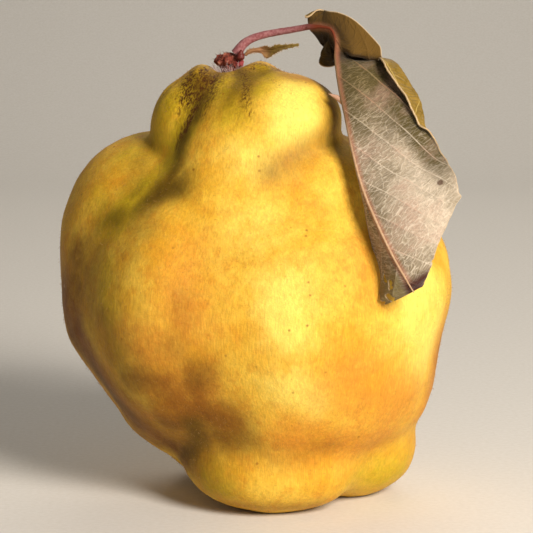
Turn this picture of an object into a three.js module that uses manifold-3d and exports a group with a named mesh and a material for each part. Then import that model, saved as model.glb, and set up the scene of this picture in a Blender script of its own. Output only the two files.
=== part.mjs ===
// A ripe quince, as picked. The fruit stands on the swellings round its blossom end, and the broken spur
// on its crown still carries one dried leaf, with the bud and one stipule at the foot of its stalk.
// Millimetres, +Z up; the fruit is modelled round its own axis and then set over the origin.
import * as THREE from 'three';
import { mergeVertices } from 'three/addons/utils/BufferGeometryUtils.js';
import Module from 'manifold-3d';

const wasm = await Module();
wasm.setup();

// ---- Driving dimensions ----

// The flesh is a stack of swollen lobes that melt into each other. Each lobe is an ellipsoid with its
// centre and radii, and `melt` is how wide a crease it keeps with the lobes before it. The hollows are
// taken out in the same way. `floor` flattens whatever would sink below the fruit's resting spots.
const fruit = {
  core: [0, 0, 43],
  detail: 15,
  floor: 0,
  lobes: [
    { at: [6, 2, 39], r: [31, 32, 34], melt: 1 }, // body
    { at: [-20, 9, 55.5], r: [22.3, 22, 23], melt: 4 }, // left shoulder
    { at: [-20, 5, 42], r: [22, 22, 22], melt: 5 }, // left flank
    { at: [-12, 2, 29.5], r: [20, 24, 21.5], melt: 6 }, // left hip
    { at: [20, 2, 46], r: [22.3, 28, 23], melt: 5 }, // right shoulder
    { at: [14, 2, 64], r: [16, 19, 14], melt: 6 }, // right collar
    { at: [20.5, 0, 27.5], r: [17.5, 24, 17], melt: 6 }, // right hip
    { at: [4, 3, 20.5], r: [23, 26, 18], melt: 6 }, // base
    { at: [-9, 18, 44], r: [19, 19, 27], melt: 7 }, // back left belly
    { at: [15, 18, 41], r: [18, 21, 26], melt: 6 }, // back right belly
    { at: [-16, -11.5, 43.5], r: [17.5, 17.5, 23], melt: 8 }, // left belly
    { at: [8, -12, 41], r: [20, 20.5, 27], melt: 11 }, // right belly
    { at: [-4.5, -7.5, 61], r: [14, 15.5, 24], melt: 8 }, // front ridge
    { at: [12, -9, 65.5], r: [13.5, 13.5, 12.5], melt: 6 }, // right brow
    { at: [6.4, -7.3, 81.8], r: [11.4, 12, 9.8], melt: 3 }, // right knob
    { at: [-5.8, -3.6, 74.9], r: [10, 13, 16.9], melt: 5 }, // neck
    { at: [-7.2, -3, 82], r: [5, 9.8, 8.2], melt: 2.5 }, // left edge of the neck
    { at: [1, -7.5, 76], r: [9, 11.5, 12], melt: 7 }, // front of the neck
    { at: [-1, 8, 68], r: [15, 16, 15], melt: 5 }, // nape
    { at: [-12.5, 1, 80], r: [10, 11, 11], melt: 2.2 }, // left knob
    { at: [-10.6, 0.4, 86.2], r: [5.8, 8.4, 7.3], melt: 1.5 }, // left crown
    { at: [0.6, -1.5, 85.6], r: [6.5, 9.5, 8.4], melt: 3 }, // right crown
    { at: [5.5, 10.5, 80.3], r: [11, 11, 10], melt: 5 }, // back knob
    { at: [3.4, -11.4, 9], r: [18, 14.3, 9.6], melt: 5 }, // front foot
    { at: [20.5, 2, 11.2], r: [14, 15, 12], melt: 4 }, // right foot
    { at: [-4, 14, 9.4], r: [14, 15, 10], melt: 8 }, // back left foot
    { at: [14, 17, 9.4], r: [14, 14, 10], melt: 8 }, // back right foot
  ],
  hollows: [
    { at: [-5.6, 0.6, 97.8], r: [5.6, 5.8, 8], melt: 2 }, // round the spur
    { at: [8, 5, -2], r: [9, 9, 10.5], melt: 4 }, // round the calyx
  ],
};

const spur = {
  core: [-5.6, 0.3, 93.2],
  detail: 4,
  lobes: [
    { at: [-5.6, 0.4, 93.2], r: [2.1, 2.1, 2.3], melt: 1 },
    { at: [-7.4, 0.2, 94], r: [1.5, 1.5, 1.1], melt: 0.6 },
    { at: [-4, -0.5, 93.5], r: [1.5, 1.6, 1.1], melt: 0.6 },
    { at: [-5.9, -1.2, 93.9], r: [1.1, 1.1, 1.2], melt: 0.4 },
  ],
};

const bud = {
  core: [-3.2, -2.5, 94.9],
  detail: 2,
  lobes: [
    { at: [-3.2, -2.5, 94.9], r: [0.75, 0.75, 0.9], melt: 0.5 },
    { at: [-3.1, -2.5, 95.6], r: [0.4, 0.4, 0.8], melt: 0.5 },
  ],
};

const petiole = {
  sides: 8,
  steps: 14,
  radius: [1.0, 0.75], // at its foot and where the blade starts
  path: [[-4, -0.2, 95.4], [-3.2, -0.5, 96.7], [-2, -0.8, 97.9], [0, -1.2, 98.9], [3.4, -2, 99.8],
    [7.6, -4, 100.6], [11.1, -6, 101.3]],
};

// The blade hangs from the sharp bend in its midrib, felted side to the front. At each station along
// the midrib: the width of the half on the right, how far that half leans to the front as it leaves the
// midrib (degrees), the length of margin rolled over at its edge, then the width of the left half
// and how far it is folded back behind the midrib.
const blade = {
  thickness: 0.7,
  steps: 34,
  across: { left: 4, right: 7, rolled: 4 },
  rollAngle: 158,
  rollReach: 1.2,
  rollTurn: 2, // how soon the turn is made, 1 being all along the rolled margin
  cup: 22, // how much further back the left half has turned at its own margin, in degrees
  arch: -16, // the same for the right half
  // The stalk end overhangs the rest: where along the blade the fold starts and ends, how far it stands
  // forward and leaves the rest behind it, and how soon the rest comes forward again.
  fold: { from: 0.315, to: 0.385, front: 1, back: 2.2, fade: 0.1 },
  tipCurl: { from: 0.95, back: 1.5 },
  wave: { height: 0.5, count: 5.5 },
  midrib: { sides: 8, radius: [0.6, 0.4], proud: 0.4 },
  stations: [
    { mid: [11.1, -6, 101.3], right: 1.8, lean: 10, rolled: 0.6, left: 1, fold: 20 },
    { mid: [12.3, -7, 101.4], right: 2.5, lean: 5, rolled: 0.9, left: 6, fold: 20 },
    { mid: [13.7, -8, 101.4], right: 3, lean: 5, rolled: 0.2, left: 8.5, fold: 25 },
    { mid: [15.6, -9.5, 100.9], right: 3.8, lean: 5, rolled: 0, left: 9.5, fold: 35 },
    { mid: [16.4, -11, 98.9], right: 8.8, lean: 0, rolled: 0, left: 9, fold: 80 },
    { mid: [16.3, -13, 95.3], right: 10.3, lean: 0, rolled: 3.6, left: 9, fold: 108 },
    { mid: [16.9, -15, 90.3], right: 12.3, lean: 5, rolled: 5.2, left: 11, fold: 110 },
    { mid: [18.2, -18, 84], right: 14.9, lean: 8, rolled: 3.2, left: 7.5, fold: 106 },
    { mid: [19.6, -21.5, 77.2], right: 15.6, lean: 8, rolled: 0.7, left: 5, fold: 94 },
    { mid: [21.7, -26, 69.6], right: 17.6, lean: 6, rolled: 0.3, left: 5, fold: 72 },
    { mid: [24.6, -29.5, 62.8], right: 17.3, lean: 4, rolled: 0, left: 6.8, fold: 58 },
    { mid: [27.5, -32, 56.9], right: 11.2, lean: 0, rolled: 0, left: 7, fold: 46 },
    { mid: [30.2, -33.5, 52.3], right: 5.4, lean: 0, rolled: 0, left: 8.6, fold: 30 },
    { mid: [31.6, -33.6, 50], right: 2.2, lean: -20, rolled: 0, left: 7.4, fold: 20 },
  ],
  bites: [ // where insects have eaten the margin
    { at: [26.2, -29.2, 52.1], r: 0.8 },
    { at: [27.2, -30.8, 51.5], r: 0.8 },
    { at: [27.3, -30.2, 48.4], r: 1 },
  ],
};

const stipule = {
  thickness: 0.6,
  across: 3,
  path: [[-2.2, -1.5, 95.2], [-1.2, -2, 96], [1.3, -3, 96.3], [3.4, -4, 96.2], [5.1, -5, 96.9], [9, -6, 97.7]],
  // half-widths above and below the axis, from the foot to the tip
  above: [0.35, 0.4, 0.45, 0.6, 1.1, 0.8, 1, 0.5, 0.15],
  below: [0.35, 0.4, 0.45, 0.6, 1.5, 0.7, 0.6, 0.4, 0.15],
  steps: 16,
};

// Five dried sepals round a small disc, in the hollow at the blossom end.
const calyx = {
  at: [8, 5, 5.2],
  disc: { radius: 2.6, height: 1.4, sides: 10 },
  sepals: 5,
  sepal: { length: 4.6, width: 3.4, thickness: 0.7, droop: 2.6, lift: 1.2, cup: 0.5 },
};

// ---- Solids ----

function solid(geometry) {
  const g = geometry.clone();
  g.deleteAttribute('normal');
  g.deleteAttribute('uv');
  const merged = mergeVertices(g, 1e-4);
  return new wasm.Manifold(new wasm.Mesh({
    numProp: 3,
    vertProperties: new Float32Array(merged.attributes.position.array),
    triVerts: new Uint32Array(merged.index.array),
  }));
}

function toGeometry(manifold) {
  const mesh = manifold.getMesh();
  const g = new THREE.BufferGeometry();
  g.setAttribute('position', new THREE.BufferAttribute(mesh.vertProperties.slice(), 3));
  g.setIndex(new THREE.BufferAttribute(mesh.triVerts.slice(), 1));
  g.computeVertexNormals();
  return g;
}

function fromRings(rings, start, end) { // closed skin over rings of points, with a point at each end
  const points = [...rings.flat(), start, end];
  const n = rings[0].length;
  const index = [];
  for (let i = 0; i + 1 < rings.length; i++) {
    for (let j = 0; j < n; j++) {
      const [a, b] = [i * n + j, i * n + ((j + 1) % n)];
      index.push(a, b, a + n, b, b + n, a + n);
    }
  }
  const last = (rings.length - 1) * n;
  for (let j = 0; j < n; j++) {
    const k = (j + 1) % n;
    index.push(points.length - 2, k, j, points.length - 1, last + j, last + k);
  }
  return new THREE.BufferGeometry().setFromPoints(points).setIndex(index);
}

function sheet(rows, thickness) { // a thin solid: both faces of the grid of points are split alike
  const [m, n] = [rows.length, rows[0].length];
  const at = (i, j) => rows[THREE.MathUtils.clamp(i, 0, m - 1)][THREE.MathUtils.clamp(j, 0, n - 1)];
  const face = (side) => rows.flatMap((row, i) => row.map((p, j) => {
    const along = at(i + 1, j).clone().sub(at(i - 1, j));
    const across = at(i, j + 1).clone().sub(at(i, j - 1));
    return p.clone().addScaledVector(across.cross(along).normalize(), (side * thickness) / 2);
  }));
  const half = m * n;
  const index = [];
  const quad = (a, b, c, d) => index.push(a, b, c, a, c, d);
  for (let i = 0; i + 1 < m; i++) {
    for (let j = 0; j + 1 < n; j++) {
      const [a, b, c, d] = [i * n + j, i * n + j + 1, (i + 1) * n + j + 1, (i + 1) * n + j];
      index.push(a, b, c, a, c, d, a + half, c + half, b + half, a + half, d + half, c + half);
    }
    quad(i * n, (i + 1) * n, (i + 1) * n + half, i * n + half);
    quad((i + 1) * n - 1 + half, (i + 2) * n - 1 + half, (i + 2) * n - 1, (i + 1) * n - 1);
  }
  for (let j = 0; j + 1 < n; j++) {
    const last = (m - 1) * n;
    quad(j + half, j + 1 + half, j + 1, j);
    quad(last + j, last + j + 1, last + j + 1 + half, last + j + half);
  }
  return new THREE.BufferGeometry().setFromPoints([...face(1), ...face(-1)]).setIndex(index);
}

function through(points) {
  return new THREE.CatmullRomCurve3(points.map((p) => new THREE.Vector3(...p)), false, 'centripetal');
}

function between(values, t) { // smooth value of a list of numbers at t from 0 to 1
  const line = new THREE.SplineCurve(values.map((v, i) => new THREE.Vector2(i, v)));
  return line.getPoint(t).y;
}

function taper(curve, steps, sides, [r0, r1]) {
  const { normals, binormals } = curve.computeFrenetFrames(steps);
  const rings = normals.map((normal, i) => {
    const centre = curve.getPointAt(i / steps);
    const r = THREE.MathUtils.lerp(r0, r1, i / steps);
    return Array.from({ length: sides }, (_, k) => {
      const a = (2 * Math.PI * k) / sides;
      return centre.clone().addScaledVector(normal, r * Math.cos(a)).addScaledVector(binormals[i], r * Math.sin(a));
    });
  });
  return fromRings(rings, curve.getPoint(0), curve.getPoint(1));
}

// ---- Swollen bodies: fruit, spur and bud ----

function toEllipsoid(p, { at, r }) {
  const q = p.map((x, i) => x - at[i]);
  const k0 = Math.hypot(...q.map((x, i) => x / r[i]));
  const k1 = Math.hypot(...q.map((x, i) => x / r[i] ** 2));
  return (k0 * (k0 - 1)) / k1;
}

function meltMin(a, b, melt) {
  const h = Math.max(melt - Math.abs(a - b), 0) / melt;
  return Math.min(a, b) - (h * h * melt) / 4;
}

function toSkin(p, { lobes, hollows = [] }) {
  const [first, ...others] = lobes;
  const full = others.reduce((d, lobe) => meltMin(d, toEllipsoid(p, lobe), lobe.melt), toEllipsoid(p, first));
  return hollows.reduce((d, hollow) => -meltMin(-d, toEllipsoid(p, hollow), hollow.melt), full);
}

function swollen(body) { // every point of a ball is moved out along its ray to the skin
  const g = new THREE.IcosahedronGeometry(1, body.detail);
  g.deleteAttribute('normal');
  g.deleteAttribute('uv');
  const ball = mergeVertices(g, 1e-5);
  const position = ball.attributes.position;
  for (let i = 0; i < position.count; i++) {
    const ray = [position.getX(i), position.getY(i), position.getZ(i)];
    const at = (t) => body.core.map((c, k) => c + ray[k] * t);
    let [inside, outside] = [0, 80];
    while (outside - inside > 0.001) {
      const t = (inside + outside) / 2;
      if (toSkin(at(t), body) < 0) inside = t;
      else outside = t;
    }
    const [x, y, z] = at(inside);
    position.setXYZ(i, x, y, Math.max(z, body.floor ?? z));
  }
  return ball;
}

// ---- Leaf ----

function leafRow(t) { // points across the blade at t, from the left margin to the right one
  const column = (key) => between(blade.stations.map((s) => s[key]), t);
  const curve = through(blade.stations.map((s) => s.mid));
  const tangent = curve.getTangent(t);
  const front = new THREE.Vector3(0, -1, 0);
  front.addScaledVector(tangent, -front.dot(tangent)).normalize();
  const right = front.clone().cross(tangent);
  const mid = curve.getPoint(t);
  const degrees = Math.PI / 180;
  const { across, fold, tipCurl, wave } = blade;
  const walk = (from, side, length, count, turnAt) => {
    const points = [];
    const p = from.clone();
    for (let k = 1; k <= count; k++) {
      const turn = turnAt((k - 0.5) / count) * degrees;
      p.addScaledVector(right, (side * Math.cos(turn) * length) / count);
      p.addScaledVector(front, (Math.sin(turn) * length) / count);
      points.push(p.clone());
    }
    return points;
  };
  const wavy = (u) => wave.height * u * u * Math.sin(2 * Math.PI * wave.count * t);
  const left = walk(mid, -1, column('left'), across.left, (u) => -column('fold') - blade.cup * u);
  const { smoothstep } = THREE.MathUtils;
  const past = smoothstep(t, fold.from, fold.to);
  const behind = fold.back * past * (1 - smoothstep(t, fold.to, fold.to + fold.fade));
  const step = fold.front * smoothstep(t, 0.15, fold.from) * (1 - past) - behind;
  const flat = walk(mid, 1, column('right'), across.right, (u) => column('lean') + blade.arch * u);
  flat.forEach((p, k) => {
    const u = (k + 1) / across.right;
    p.addScaledVector(front, step * smoothstep(u, 0, 0.4) + wavy(u));
  });
  const rolled = Math.max(column('rolled'), 0);
  const start = column('lean') + blade.arch;
  const full = blade.rollAngle * smoothstep(rolled, 0, blade.rollReach);
  const rollLength = Math.max(rolled, 0.25) + blade.rollReach * (full / blade.rollAngle);
  const turn = (u) => start + full * Math.min(1, blade.rollTurn * u);
  const roll = walk(flat.at(-1), 1, rollLength, across.rolled, turn);
  const curl = tipCurl.back * smoothstep(t, tipCurl.from, 1);
  return [...left.reverse(), mid, ...flat, ...roll].map((p) => p.addScaledVector(front, -curl));
}

function leafGeometry() {
  const stations = blade.stations.map((s) => s.mid);
  const rows = Array.from({ length: blade.steps + 1 }, (_, i) => leafRow(i / blade.steps));
  const { sides, radius, proud } = blade.midrib;
  const raised = stations.map(([x, y, z]) => [x, y - proud, z]);
  const rib = taper(through(raised), blade.steps, sides, radius);
  const stalk = taper(through([...petiole.path, stations[1]]), petiole.steps, petiole.sides, petiole.radius);
  let leaf = solid(sheet(rows, blade.thickness)).add(solid(rib)).add(solid(stalk));
  for (const { at, r } of blade.bites) {
    leaf = leaf.subtract(solid(new THREE.IcosahedronGeometry(r, 1).translate(...at)));
  }
  return toGeometry(leaf);
}

function stipuleGeometry() {
  const curve = through(stipule.path);
  const rows = Array.from({ length: stipule.steps + 1 }, (_, i) => {
    const t = i / stipule.steps;
    const up = new THREE.Vector3(0, -0.3, 1);
    const tangent = curve.getTangent(t);
    up.addScaledVector(tangent, -up.dot(tangent)).normalize();
    return Array.from({ length: 2 * stipule.across + 1 }, (__, k) => {
      const u = k / stipule.across - 1;
      const reach = u < 0 ? between(stipule.below, t) : between(stipule.above, t);
      return curve.getPoint(t).addScaledVector(up, u * reach);
    });
  });
  return sheet(rows, stipule.thickness);
}

// ---- Calyx ----

function sepalGeometry(turn) {
  const { length, width, thickness, droop, lift, cup } = calyx.sepal;
  const steps = 5;
  const rows = Array.from({ length: steps + 1 }, (_, i) => {
    const t = i / steps;
    const half = (width / 2) * (0.25 + Math.sin(Math.PI * Math.min(0.2 + t, 1)) * 0.8);
    return [-1, -0.5, 0, 0.5, 1].map((u) => {
      const point = new THREE.Vector3(u * half, lift + length * t, cup * u * u - droop * t * t);
      return point.applyAxisAngle(new THREE.Vector3(0, 0, 1), turn);
    });
  });
  return sheet(rows, thickness);
}

function calyxGeometry() {
  const { disc, sepals, at } = calyx;
  const half = disc.height / 2;
  const profile = [[0, -half], [disc.radius * 0.8, -half], [disc.radius, 0], [disc.radius * 0.7, half], [0, half]];
  const lathe = new THREE.LatheGeometry(profile.map((p) => new THREE.Vector2(...p)), disc.sides);
  lathe.rotateX(Math.PI / 2);
  let whole = solid(lathe);
  for (let k = 0; k < sepals; k++) whole = whole.add(solid(sepalGeometry((2 * Math.PI * k) / sepals)));
  return toGeometry(whole.translate(at));
}

// ---- The quince ----

const middle = [-0.06, 2.28]; // of the whole footprint, from the fruit's own axis
const quince = new THREE.Group();
const onAxis = new THREE.Group();
onAxis.position.set(-middle[0], -middle[1], 0);
quince.add(onAxis);

function addPart(name, geometry, color, roughness) {
  const material = new THREE.MeshStandardMaterial({ color, roughness, metalness: 0 });
  const mesh = new THREE.Mesh(geometry, material);
  mesh.name = name;
  onAxis.add(mesh);
}

addPart('fruit', swollen(fruit), '#e2b13c', 0.6);
addPart('calyx', calyxGeometry(), '#5b4630', 0.85);
addPart('spur', swollen(spur), '#7d3a2c', 0.8);
addPart('bud', swollen(bud), '#4f1c1d', 0.7);
addPart('leaf', leafGeometry(), '#9c8f78', 0.8);
addPart('stipule', stipuleGeometry(), '#85713a', 0.8);

export default quince;
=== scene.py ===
import math

import bpy
import numpy as np
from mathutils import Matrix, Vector, noise


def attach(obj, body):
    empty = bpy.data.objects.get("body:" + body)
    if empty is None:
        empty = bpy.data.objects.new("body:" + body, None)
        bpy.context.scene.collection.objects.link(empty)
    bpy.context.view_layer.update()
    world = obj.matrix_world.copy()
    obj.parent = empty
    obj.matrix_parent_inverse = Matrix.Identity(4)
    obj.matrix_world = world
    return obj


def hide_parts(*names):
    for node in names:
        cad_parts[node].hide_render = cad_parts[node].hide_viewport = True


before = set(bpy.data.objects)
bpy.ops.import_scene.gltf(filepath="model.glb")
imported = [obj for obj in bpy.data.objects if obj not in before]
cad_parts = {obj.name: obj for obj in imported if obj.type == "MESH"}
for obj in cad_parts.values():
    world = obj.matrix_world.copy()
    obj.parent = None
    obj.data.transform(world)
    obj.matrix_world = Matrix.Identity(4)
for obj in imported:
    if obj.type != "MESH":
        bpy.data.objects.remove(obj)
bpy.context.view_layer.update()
mm = 0.001
# sizes below are in millimetres round the fruit's own axis, which stands here
axisAt = np.array([0.06, -2.28, 0.0])
random = np.random.default_rng(7)


def toRow(spots):  # millimetres round the fruit's axis to metres in the row frame
    return (np.asarray(spots, float) + axisAt) * mm


def unit(ways):
    return ways / np.maximum(np.linalg.norm(ways, axis=-1, keepdims=True), 1e-9)


def smooth(x, low, high):
    t = np.clip((np.asarray(x, float) - low) / (high - low), 0, 1)
    return t * t * (3 - 2 * t)


def wobble(spots, size, seed=0.0):  # soft noise from -1 to 1, its lumps about `size` across
    shift = Vector((seed, seed * 1.7, -seed))
    return np.array([noise.noise(Vector(p) / size + shift) for p in spots])


def through(stations, t, even=0.0):  # smooth line through them; even=0.5 allows for their uneven gaps
    stations = np.asarray(stations, float)
    if stations.ndim == 1:
        stations = stations[:, None]
    stations = np.vstack([2 * stations[0] - stations[1], stations, 2 * stations[-1] - stations[-2]])
    last = len(stations) - 4
    way = np.asarray(t, float) * (last + 1)
    i = np.clip(way.astype(int), 0, last)
    w = (way - i)[:, None]
    a, b, c, d = (stations[i + k] for k in range(4))
    ab, bc, cd = (np.maximum(np.linalg.norm(q - p, axis=1, keepdims=True), 1e-6) ** even
                  for p, q in ((a, b), (b, c), (c, d)))
    outB = ((b - a) / ab - (c - a) / (ab + bc) + (c - b) / bc) * bc
    outC = ((c - b) / bc - (d - b) / (bc + cd) + (d - c) / cd) * bc
    return b + w * (outB + w * (3 * (c - b) - 2 * outB - outC + w * (2 * (b - c) + outB + outC)))


def named(name):
    piece = bpy.context.object
    piece.name = piece.data.name = name
    return piece


def edit(piece, mode="VERT"):  # into edit mode with nothing selected
    bpy.ops.object.mode_set(mode="OBJECT")
    bpy.ops.object.select_all(action="DESELECT")
    piece.select_set(True)
    bpy.context.view_layer.objects.active = piece
    bpy.ops.object.mode_set(mode="EDIT")
    bpy.ops.mesh.select_mode(type=mode)
    bpy.ops.mesh.select_all(action="DESELECT")


def done():
    bpy.ops.object.mode_set(mode="OBJECT")


def applied(piece, kind, **settings):
    bpy.ops.object.select_all(action="DESELECT")
    piece.select_set(True)
    bpy.context.view_layer.objects.active = piece
    modifier = piece.modifiers.new(kind.title(), kind)
    for key, value in settings.items():
        setattr(modifier, key, value)
    bpy.ops.object.modifier_apply(modifier=modifier.name)


def places(piece):
    out = np.empty(len(piece.data.vertices) * 3, np.float32)
    piece.data.vertices.foreach_get("co", out)
    return out.reshape(-1, 3).astype(float)


def place(piece, spots):
    piece.data.vertices.foreach_set("co", np.asarray(spots, np.float32).ravel())
    piece.data.update()


def normals(piece):
    out = np.empty(len(piece.data.vertices) * 3, np.float32)
    piece.data.vertex_normals.foreach_get("vector", out)
    return out.reshape(-1, 3).astype(float)


def paint(piece, name, values):  # a number at each vertex, for the material
    layer = piece.data.attributes.new(name, "FLOAT", "POINT")
    layer.data.foreach_set("value", np.asarray(values, np.float32))


def finished(piece, node, slot, *materials, fine=True):
    for m in materials:
        piece.data.materials.append(m)
    if fine:
        piece.data.shade_smooth()
    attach(piece, "root")
    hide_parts(node)
    return piece


def srgb(code):  # hex colour to linear
    parts = [int(code[i:i + 2], 16) / 255 for i in (1, 3, 5)]
    return (*[c / 12.92 if c <= 0.04045 else ((c + 0.055) / 1.055) ** 2.4 for c in parts], 1)


def material(name):
    m = bpy.data.materials.new(name)
    m.use_nodes = True
    return m, m.node_tree, m.node_tree.nodes["Principled BSDF"].inputs


inColor = {"data_type": "RGBA"}  # for a Mix node that mixes colours
softly = {"interpolation_type": "SMOOTHSTEP"}  # for a MapRange node without hard ends


def add(tree, kind, inputs, out=0, **settings):  # a node with its settings and links; gives one output
    node = tree.nodes.new("ShaderNode" + kind)
    for key, value in settings.items():
        setattr(node, key, value)
    for key, value in inputs.items():
        if isinstance(value, bpy.types.NodeSocket):
            tree.links.new(value, node.inputs[key])
        else:
            node.inputs[key].default_value = srgb(value) if isinstance(value, str) else value
    return node.outputs[out]


# Camera, lights and floor

studio = {
    "target": (2.31, -2.28, 49.9),
    "distance": 480,
    "elevation": 9,
    "lens": 151.4,
    "floorSize": 1.8,
    "wallBend": 0.35,
    "floor": ("#e5e4e2", "#d6d4cf"),
    "lights": [  # place in metres, size, power, colour
        ("key", (0.36, -0.56, 0.4), 0.26, 8.4, "#fff4e6"),
        ("fill", (-0.7, -0.5, 0.25), 0.7, 0.2, "#fff6ea"),
        ("back", (0.1, 0.5, 0.6), 0.5, 1.6, "#fff4e4"),
    ],
    "sky": "#eceae6",
    "skyPower": 0.12,
}


def aim(piece, target):
    piece.rotation_euler = (Vector(target) - piece.location).to_track_quat("-Z", "Y").to_euler()


def setUpStudio():
    scene = bpy.context.scene
    scene.view_settings.view_transform = "Standard"
    target, tilt = Vector(studio["target"]) * mm, math.radians(studio["elevation"])
    back = Vector((0, -math.cos(tilt), math.sin(tilt))) * studio["distance"] * mm
    bpy.ops.object.camera_add(location=target + back)
    camera = bpy.context.object
    camera.data.lens = studio["lens"]
    camera.data.clip_start = 0.01
    aim(camera, target)
    scene.camera = camera
    for name, at, size, power, color in studio["lights"]:
        bpy.ops.object.light_add(type="AREA", location=at)
        lamp = bpy.context.object
        lamp.name = name
        lamp.data.size, lamp.data.energy, lamp.data.color = size, power, srgb(color)[:3]
        aim(lamp, (0, 0, 0.045))
    scene.world = bpy.data.worlds.new("studio")
    scene.world.use_nodes = True
    sky = scene.world.node_tree.nodes["Background"].inputs
    sky["Color"].default_value = srgb(studio["sky"])
    sky["Strength"].default_value = studio["skyPower"]


def makeFloor():  # a sheet of paper on the table that bends up behind
    half = studio["floorSize"] / 2
    bpy.ops.mesh.primitive_plane_add(size=2 * half)
    floor = named("floor")
    for lift in (half, 0):
        edit(floor, "EDGE")
        done()
        for edge in floor.data.edges:
            ends = [floor.data.vertices[v].co for v in edge.vertices]
            edge.select = all(p.y > half - mm and p.z < mm for p in ends)
        bpy.ops.object.mode_set(mode="EDIT")
        if lift:
            bpy.ops.mesh.extrude_region_move(TRANSFORM_OT_translate={"value": (0, 0, lift)})
        else:
            bpy.ops.mesh.bevel(offset=studio["wallBend"], segments=24)
        done()
    floor.data.shade_smooth()
    m, tree, surface = material("seamlessPaper")  # matt paper with the faintest tooth
    surface["Roughness"].default_value = 0.9
    spot = add(tree, "TexCoord", {}, "Object")
    tooth = add(tree, "TexNoise", {"Vector": spot, "Scale": 900.0})
    light, dark = studio["floor"]
    tint = add(tree, "Mix", {0: tooth, 6: light, 7: dark}, 2, **inColor)
    tree.links.new(tint, surface["Base Color"])
    floor.data.materials.append(m)


# Swollen pieces: round lobes that melt into each other, less smooth hollows

def lobeGap(p, at, r):
    q = p - np.array(at, float)
    k0 = np.linalg.norm(q / np.array(r), axis=1)
    k1 = np.linalg.norm(q / np.array(r) ** 2, axis=1)
    return k0 * (k0 - 1) / k1


def melted(a, b, melt):
    h = np.maximum(melt - np.abs(a - b), 0) / melt
    return np.minimum(a, b) - h * h * melt / 4


def fleshGap(shape, p):  # how far from the skin, and how much flesh fills the crease there
    at, r, _ = shape["lobes"][0]
    gap = bare = lobeGap(p, at, r)
    for at, r, melt in shape["lobes"][1:]:
        lobe = lobeGap(p, at, r)
        gap, bare = melted(gap, lobe, melt), np.minimum(bare, lobe)
    crease = bare - gap
    for at, r, melt in shape.get("hollows", []):
        gap = -melted(-gap, lobeGap(p, at, r), melt)
    return gap, crease


def swollen(name, shape):  # a ball of square faces, each vertex pushed out to the skin
    bpy.ops.mesh.primitive_cube_add(size=2)
    piece = named(name)
    edit(piece)
    bpy.ops.mesh.select_all(action="SELECT")
    bpy.ops.mesh.subdivide(number_cuts=shape["cuts"])
    bpy.ops.transform.tosphere(value=1)
    done()
    rays, core = unit(places(piece)), np.array(shape["core"], float)
    inside, outside = np.zeros(len(rays)), np.full(len(rays), shape["reach"])
    halvings = 18  # leave the skin within a thousandth of a millimetre
    for _ in range(halvings):
        t = (inside + outside) / 2
        within = fleshGap(shape, core + rays * t[:, None])[0] < 0
        inside, outside = np.where(within, t, inside), np.where(within, outside, t)
    p = core + rays * inside[:, None]
    return piece, rays, p, fleshGap(shape, p)[1]


# Stems: a round bar laid along a smooth path, with its own thickness at each place

def stem(name, path, radii, sides, rings, flat=1.0):
    bpy.ops.mesh.primitive_cylinder_add(vertices=sides, radius=1, depth=1, end_fill_type="TRIFAN")
    piece = named(name)
    for k in range(1, rings):
        edit(piece)
        bpy.ops.mesh.select_all(action="SELECT")
        bpy.ops.mesh.bisect(plane_co=(0, 0, k / rings - 0.5), plane_no=(0, 0, 1))
    done()
    model = places(piece)
    t = np.clip(model[:, 2] + 0.5, 0, 1)
    line, thick = through(path, t, 0.5), through(radii, t)
    ahead, behind = through(path, np.minimum(t + 0.01, 1), 0.5), through(path, np.maximum(t - 0.01, 0), 0.5)
    along = unit(ahead - behind)
    across = unit(np.cross(along, (0.1, -0.95, 0.3)))
    other = np.cross(across, along)
    p = line + thick * (model[:, :1] * across + flat * model[:, 1:2] * other)
    place(piece, toRow(p))
    return piece, p, t


# Hairs: one tapered hair, copied to every root into a single mesh

def hairs(name, roots, ways, lengths, widths, droop=(0, 0, -1), bend=0.0, levels=1):
    bpy.ops.mesh.primitive_cone_add(vertices=3, radius1=1, radius2=0, depth=1, end_fill_type="NGON")
    piece = named(name)
    for k in range(1, levels):
        edit(piece)
        bpy.ops.mesh.select_all(action="SELECT")
        bpy.ops.mesh.bisect(plane_co=(0, 0, k / levels - 0.5), plane_no=(0, 0, 1))
    done()
    model, faces = places(piece), [list(f.vertices) for f in piece.data.polygons]
    roots, ways = np.asarray(roots, float), unit(np.asarray(ways, float))
    lengths, widths = (np.broadcast_to(np.asarray(v, float), len(roots))[:, None, None]
                       for v in (lengths, widths))
    across = unit(np.cross(ways, (0.31, 0.52, 0.8)))
    other = np.cross(ways, across)
    x, y, z = (model[None, :, k:k + 1] for k in range(3))
    z = z + 0.5
    p = roots[:, None] + z * lengths * ways[:, None] + widths * (x * across[:, None] + y * other[:, None])
    p = p + np.asarray(droop, float).reshape(-1, 1, 3) * (bend * lengths * z * z)
    start = np.arange(len(roots)) * len(model)
    piece.data.clear_geometry()
    piece.data.from_pydata(toRow(p.reshape(-1, 3)), [], [[s + v for v in f] for s in start for f in faces])
    return piece


# The fruit: quince flesh grown in swollen ribs, furrowed round its stalk

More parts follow.
